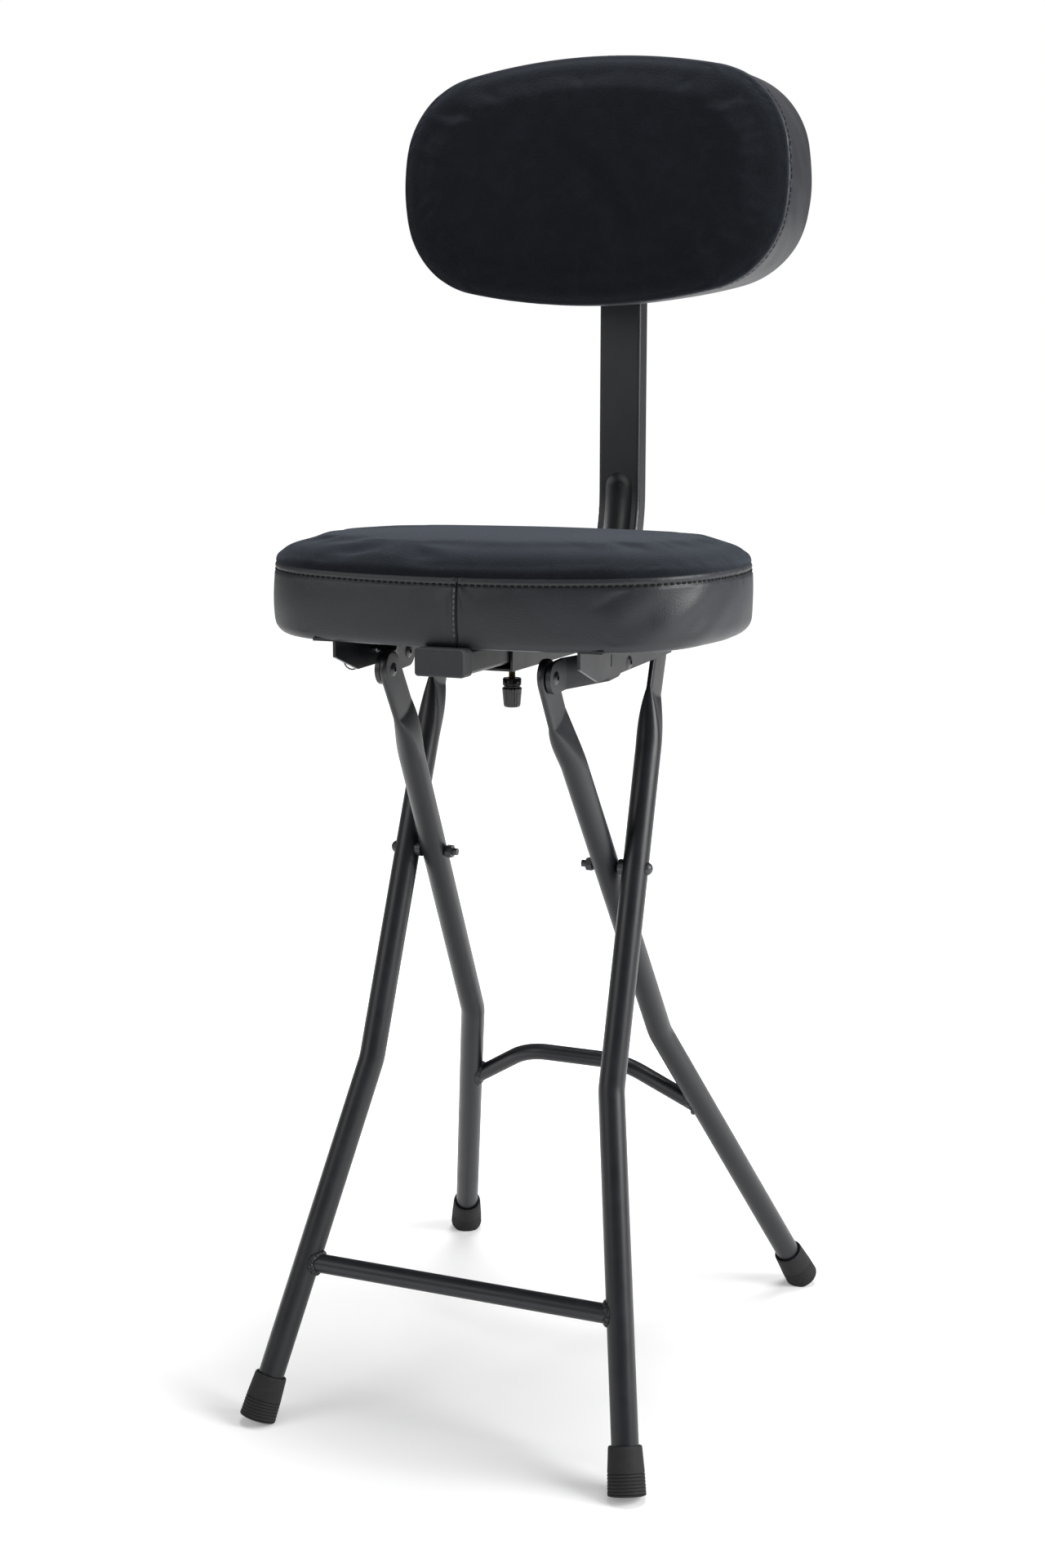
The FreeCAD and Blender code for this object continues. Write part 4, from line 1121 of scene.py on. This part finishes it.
    def foot_points(self) -> Array:
        """Turn the right-hand foot: a rounded sole, six rings, a plain taper and a rolled lip.

        The rings' grooves dip as a power of a sine, and what would lie below the floor is worn flat.

        Returns:
            Rings of points in the row frame.
        """
        rib_low, rib_high, rib_pitch, rib_depth, rib_power, draft = 1.6, 17.2, 2.6, 0.8, 0.4, 0.03
        ribs = np.linspace(rib_low, rib_high, 61)
        groove = rib_depth * (1 - np.abs(np.sin(math.pi * (ribs - rib_low) / rib_pitch)) ** rib_power)
        base = self.foot_radius
        # Outline from the sole up, each as a radius and a height
        profile = np.concatenate([
            [(base - 1.6, 0.0), (base - 0.4, 0.4), (base, 1.4)],
            np.column_stack([base - draft * ribs - groove, ribs]),
            [(14.9, 17.8), (14.6, 22.0), (14.2, 28.0), (13.7, 36.2), (13.5, 37.4), (12.9, self.foot_height),
             (12.0, 37.8), (11.6, 36.6), (11.2, 31.0)]])
        turn = full_turn(56)
        drop = -self.down[1] * self.rise
        rim_drop = base * math.sin(math.acos(drop)) - self.foot_sink
        end = self.floor - self.down * rim_drop / drop
        radius, height = profile[:, :1], profile[:, 1:]
        side = radius * np.cos(turn)
        flat = np.stack([end[0] - self.down[0] * height - side * self.down[1], radius * np.sin(turn),
                         end[1] - self.down[1] * height + side * self.down[0]], -1)
        points = self.stand(flat)
        points[..., 2] = np.maximum(points[..., 2], 0.0)
        return points

    def build(self, wardrobe: Wardrobe) -> None:
        """Make both legs and both feet, dress them and put them on their body.

        Args:
            wardrobe: Materials to dress them in.
        """
        kinds = (("leg", self.leg_points(), Finishes.powder_coat),
                 ("foot", self.foot_points(), Finishes.rubber))
        for kind, points, finish in kinds:
            faces = capped_faces(*points.shape[:2])
            for hand, sign in (("left", -1.0), ("right", 1.0)):
                node = f"{self.name}_{kind}_{hand}"
                piece = make_piece(f"{node}_skin", points * [sign, 1.0, 1.0], faces, crease_deg=50.0)
                wardrobe.settle(piece, finish, f"{self.name}_frame", node)


@dataclass
class PullRing:
    """Split ring through the lock pin's eye: two close turns of wire.

    Attributes:
        node: CAD node that it stands for.
        wire: Wire radius.
        turns: Turns of wire.
        plane_deg: Turn of the ring's plane about Z, from Y towards X.
        inset: Distance of the wire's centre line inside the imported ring's outside.
    """

    node: str = "lock_ring"
    wire: float = 0.6
    turns: float = 1.9
    plane_deg: float = 30.0
    inset: float = 0.8

    def build(self, wardrobe: Wardrobe) -> None:
        """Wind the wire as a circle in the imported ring's plane that creeps evenly along its normal.

        Args:
            wardrobe: Materials to dress it in.
        """
        low, high = corners(self.node)
        centre = (low + high) / 2
        radius = (high[2] - low[2]) / 2 - self.inset
        plane = math.radians(self.plane_deg)
        across = np.array([math.sin(plane), math.cos(plane), 0.0])
        normal = np.cross(across, [0.0, 0.0, 1.0])
        rings, cols, wire_start, closeness = 190, 12, -1.0, 0.98
        turn = np.linspace(0, 2 * math.pi * self.turns, rings) + wire_start
        line = centre + radius * (np.cos(turn)[:, None] * across + np.sin(turn)[:, None] * [0, 0, 1])
        line = line + normal * (np.linspace(-1, 1, rings) * self.wire * closeness)[:, None]
        points = tubes(line[None], np.full((1, rings), self.wire), cols)[0]
        piece = make_piece("split_ring", points, capped_faces(*points.shape[:2]))
        wardrobe.settle(piece, Finishes.bright_steel, "lock_pull_ring", self.node)


@dataclass
class ClampStud:
    """Threaded stud of the clamp.

    Attributes:
        node: CAD node that it stands for.
        pitch: Thread pitch.
        depth: Thread depth.
    """

    node: str = "clamp_stud"
    pitch: float = 1.0
    depth: float = 0.55

    def build(self, wardrobe: Wardrobe) -> None:
        """Cut a helical thread: the radius dips as a triangle wave of height less turn.

        Args:
            wardrobe: Materials to dress it in.
        """
        low, high = corners(self.node)
        centre = (low + high) / 2
        cols, rings_per_turn = 32, 8
        turn = full_turn(cols)
        height = np.linspace(low[2], high[2], int((high[2] - low[2]) / self.pitch * rings_per_turn))
        wave = np.abs(((height[:, None] / self.pitch - turn / (2 * math.pi)) % 1) * 2 - 1)
        radius = (high[0] - low[0]) / 2 - self.depth * wave
        points = np.stack([centre[0] + radius * np.cos(turn), centre[1] + radius * np.sin(turn),
                           height[:, None] + 0 * turn], -1)
        piece = make_piece("threaded_stud", points, capped_faces(*points.shape[:2]), crease_deg=60.0)
        wardrobe.settle(piece, Finishes.zinc_yellow, "clamp_screw", self.node)


@dataclass
class ClampKnob:
    """Moulded knob of the clamp: a plain collar over a fluted, tapered grip.

    Attributes:
        node: CAD node that it stands for.
        collar: Radius of the collar.
        grip: Radius of the grip below the collar.
        tip: Radius of the grip at its lower end.
        flutes: Number of flutes.
        flute_depth: Depth of a flute.
        grip_shares: Shares of the height, from the top, where the grip begins and ends.
    """

    node: str = "clamp_knob"
    collar: float = 7.8
    grip: float = 8.3
    tip: float = 6.9
    flutes: int = 14
    flute_depth: float = 0.45
    grip_shares: tuple[float, float] = (0.36, 0.94)

    def build(self, wardrobe: Wardrobe) -> None:
        """Turn the knob's profile; the grip's radius dips in shallow flutes as a power of a sine.

        Args:
            wardrobe: Materials to dress it in.
        """
        low, high = corners(self.node)
        centre, tall = (low + high) / 2, high[2] - low[2]
        turn = full_turn(168)
        begin, end = self.grip_shares
        body = np.linspace(begin, end, 14)
        grip = self.grip + (self.tip - self.grip) * (body - begin) / (1 - begin)
        # Outline from the top down, each as a radius and a share of the height
        profile = np.concatenate([
            [(4.2, 0.0), (self.collar - 0.7, 0.0), (self.collar, 0.03), (self.collar, 0.24),
             (self.collar - 0.5, 0.26), (self.collar - 1.0, 0.28), (self.collar - 1.0, 0.31),
             (self.grip - 0.5, 0.33)],
            np.column_stack([grip, body]), [(self.tip - 0.3, 0.98), (self.tip - 1.1, 1.0)]])
        radius, share = profile[:, :1], profile[:, 1:]
        # Flutes fade in below the collar and out above the tip
        on_grip = np.clip((share - 0.34) / 0.08, 0, 1) * np.clip((0.97 - share) / 0.05, 0, 1)
        radius = radius - self.flute_depth * on_grip * np.abs(np.sin(self.flutes * turn / 2)) ** 6
        points = np.stack([centre[0] + radius * np.cos(turn), centre[1] + radius * np.sin(turn),
                           high[2] - tall * share + 0 * turn], -1)
        piece = make_piece("fluted_knob", points, capped_faces(*points.shape[:2]), crease_deg=45.0)
        wardrobe.settle(piece, Finishes.knob_plastic, "clamp_handle", self.node)


@dataclass
class Studio:
    """Pale floor, soft lamps and a camera where the photograph was taken.

    Attributes:
        azimuth: Camera's turn about Z from straight ahead, in radians.
        pitch: Its downward pitch, in radians.
        position: Its place in the row frame, in metres.
        lens: Focal length in millimetres on a 36 mm frame.
    """

    azimuth: float = 0.39932
    pitch: float = 0.18007
    position: tuple[float, float, float] = (0.68509, -1.66970, 0.85009)
    lens: float = 48.408

    def build(self) -> None:
        """Make the camera, the floor, lamps at the right, at the left and overhead, and the world."""
        self.camera()
        self.floor()
        self.lamp("key_softbox", place=(2.3, 0.0, 1.6), aim=(0.0, 0.0, 0.55), size=1.4, power=72.0)
        self.lamp("fill_softbox", place=(-1.6, -2.0, 1.7), aim=(0.0, 0.0, 0.5), size=1.4, power=15.0)
        self.lamp("top_softbox", place=(0.1, 0.3, 3.0), aim=(0.0, 0.0, 0.4), size=1.2, power=60.0)
        self.world()
        bpy.context.scene.view_settings.view_transform = "Standard"

    def mount(self, name: str, data: bpy.types.Camera | bpy.types.Light, axes: list[Array],
              place: tuple[float, float, float]) -> bpy.types.Object:
        """Put the camera or a lamp in its place.

        Args:
            name: Object name.
            data: The camera or the lamp.
            axes: Directions of its right, its top and its back.
            place: Its place, in metres.

        Returns:
            The object.
        """
        turn = np.eye(4)
        turn[:3, :3] = np.stack(axes, 1)
        turn[:3, 3] = place
        mounted = bpy.data.objects.new(name, data)
        mounted.matrix_world = Matrix(turn.tolist())
        bpy.context.scene.collection.objects.link(mounted)
        return mounted

    def camera(self) -> None:
        """Aim the camera along its azimuth and pitch."""
        data = bpy.data.cameras.new("photo_camera")
        data.sensor_fit = "VERTICAL"
        data.sensor_height = 36.0
        data.lens = self.lens
        right = np.array([math.cos(self.azimuth), math.sin(self.azimuth), 0.0])
        ahead = np.array([-math.sin(self.azimuth) * math.cos(self.pitch),
                          math.cos(self.azimuth) * math.cos(self.pitch), -math.sin(self.pitch)])
        axes = [right, np.cross(right, ahead), -ahead]
        bpy.context.scene.camera = self.mount("photo_camera", data, axes, self.position)

    def floor(self) -> None:
        """Lay a white floor whose glow to camera and mirror rays grows away from the stool's shadow."""
        # Corners in metres, far enough out to fill the view
        ends = np.array([[-9, -6, 0], [9, -6, 0], [9, 14, 0], [-9, 14, 0]]) / MM
        floor = make_piece("studio_floor", ends.astype(float), [[0, 1, 2, 3]])
        material = bpy.data.materials.new("white_studio_floor")
        tree = clear_tree(material)
        matt = add_node(tree, "ShaderNodeBsdfDiffuse", {"Color": linear("#e4e4e4")})
        seen = add_node(tree, "ShaderNodeLightPath")
        direct = add_node(tree, "ShaderNodeMath", {
            0: seen.outputs["Is Camera Ray"], 1: seen.outputs["Is Glossy Ray"]}, operation="MAXIMUM")
        place = add_node(tree, "ShaderNodeTexCoord").outputs["Object"]
        away = add_node(tree, "ShaderNodeVectorMath", {0: place}, operation="LENGTH")
        lift = add_node(tree, "ShaderNodeMapRange", {
            "Value": away.outputs["Value"], "From Min": 0.25, "From Max": 0.85, "To Min": 0.2, "To Max": 0.9})
        level = add_node(tree, "ShaderNodeMath", {
            0: direct.outputs["Value"], 1: lift.outputs["Result"]}, operation="MULTIPLY")
        glow = add_node(tree, "ShaderNodeEmission", {"Strength": level.outputs["Value"]})
        both = add_node(tree, "ShaderNodeAddShader", {0: matt.outputs["BSDF"], 1: glow.outputs["Emission"]})
        add_node(tree, "ShaderNodeOutputMaterial", {"Surface": both.outputs["Shader"]})
        floor.data.materials.append(material)

    def lamp(self, name: str, place: tuple[float, float, float], aim: tuple[float, float, float], size: float,
             power: float) -> None:
        """Hang a square softbox.

        Args:
            name: Lamp name.
            place: Its place, in metres.
            aim: The point that it faces.
            size: Its side, in metres.
            power: Its power in watts.
        """
        data = bpy.data.lights.new(name, "AREA")
        data.size = size
        data.energy = power
        back = unit(np.array(place) - np.array(aim))
        right = unit(np.cross([0.0, 0.0, 1.0], back))
        self.mount(name, data, [right, np.cross(back, right), back], place)

    def world(self) -> None:
        """Surround the stool with white for the camera and a softer white for its light."""
        world = bpy.data.worlds.new("white_studio")
        bpy.context.scene.world = world
        tree = clear_tree(world)
        seen = add_node(tree, "ShaderNodeLightPath")
        direct = add_node(tree, "ShaderNodeMath", {
            0: seen.outputs["Is Camera Ray"], 1: seen.outputs["Is Transmission Ray"]}, operation="MAXIMUM")
        level = add_node(tree, "ShaderNodeMapRange", {
            "Value": direct.outputs["Value"], "To Min": 0.24, "To Max": 1.0})
        sky = add_node(tree, "ShaderNodeBackground", {
            "Color": linear("#ffffff"), "Strength": level.outputs["Result"]})
        add_node(tree, "ShaderNodeOutputWorld", {"Surface": sky.outputs["Background"]})


def pads() -> list[Pad]:
    """Lay out the seat pad and the backrest pad.

    Returns:
        Both pads, ready to build.
    """
    flat = np.eye(3)
    upright = np.array([[1.0, 0.0, 0.0], [0.0, 0.0, 1.0], [0.0, -1.0, 0.0]])
    seat_creases = (Crease(a=-62.0, b=-113.0, length=50.0, angle_deg=-7.0, width=5.0, depth=3.6),
                    Crease(a=-120.0, b=20.0, length=40.0, angle_deg=35.0, width=6.0, depth=0.8))
    back_creases = (Crease(a=4.0, b=6.0, length=38.0, angle_deg=-45.0, width=9.0, depth=0.9),
                    Crease(a=26.0, b=-24.0, length=24.0, angle_deg=-48.0, width=8.0, depth=0.8))
    seat = Pad("seat", "seat", flat, half_a=195.0, half_b=130.0, long_radius=560.0, side_radius=230.0,
               corner=84.0, seam=54.0, seam_rise=4.0, top=80.0, tuck=6.5, bulge=2.0, shoulder=20.0,
               joint_a=9.0, slack_run=190.0, taper=0.0, droop=3.0, end_tuck=6.0, creases=seat_creases)
    back = Pad("back", "backrest", upright, half_a=179.0, half_b=105.0, long_radius=560.0, side_radius=170.0,
               corner=78.0, seam=77.0, seam_rise=0.0, top=94.0, tuck=8.0, bulge=0.6, shoulder=14.0,
               joint_a=460.0, slack_run=225.0, taper=6.0, droop=0.0, end_tuck=0.0, creases=back_creases)
    return [seat, back]


def legs() -> list[LegFrame | Weld]:
    """Lay out the leg frames and their crossbars' welds.

    Returns:
        The front and rear legs, then the front and rear welds.
    """
    front_bar_height, front_bar_radius = 129.5, 8.0
    rear_bar_height, rear_bar_radius, rear_bead = 206.9, 7.5, 2.0
    front = LegFrame("front", lean_deg=20.75, half_at_pivot=105.2, slope=0.0245, half_at_floor=166.9,
                     reach=192.0, flat_middle=100.85, flat_thick=4.9)
    rear = LegFrame("rear", lean_deg=-31.67, half_at_pivot=79.4, slope=0.06044, half_at_floor=182.4,
                    reach=200.0, flat_middle=68.0, flat_thick=6.0)
    # The rear bar's ends rise in the plane of the rear legs
    rise, lean = math.radians(37.0), math.radians(-rear.lean_deg)
    arch = np.array([-math.cos(rise), -math.sin(rise) * math.sin(lean), math.sin(rise) * math.cos(lean)])
    return [front, rear,
            Weld("front_welds", "front_frame", front.at(front_bar_height), front.leg(),
                 np.array([-1.0, 0.0, 0.0]), front.radius, front_bar_radius),
            Weld("rear_welds", "rear_frame", rear.at(rear_bar_height), rear.leg(), arch, rear.radius,
                 rear_bar_radius, rear_bead)]


def main() -> None:
    """Build the scene, piece by piece, and note the sizes."""
    logging.basicConfig(level=logging.INFO, format="%(message)s")
    wardrobe = Wardrobe()
    wardrobe.dress_frame()
    for part in [*pads(), *legs(), PullRing(), ClampStud(), ClampKnob()]:
        part.build(wardrobe)
    Studio().build()


if __name__ == "__main__":
    main()
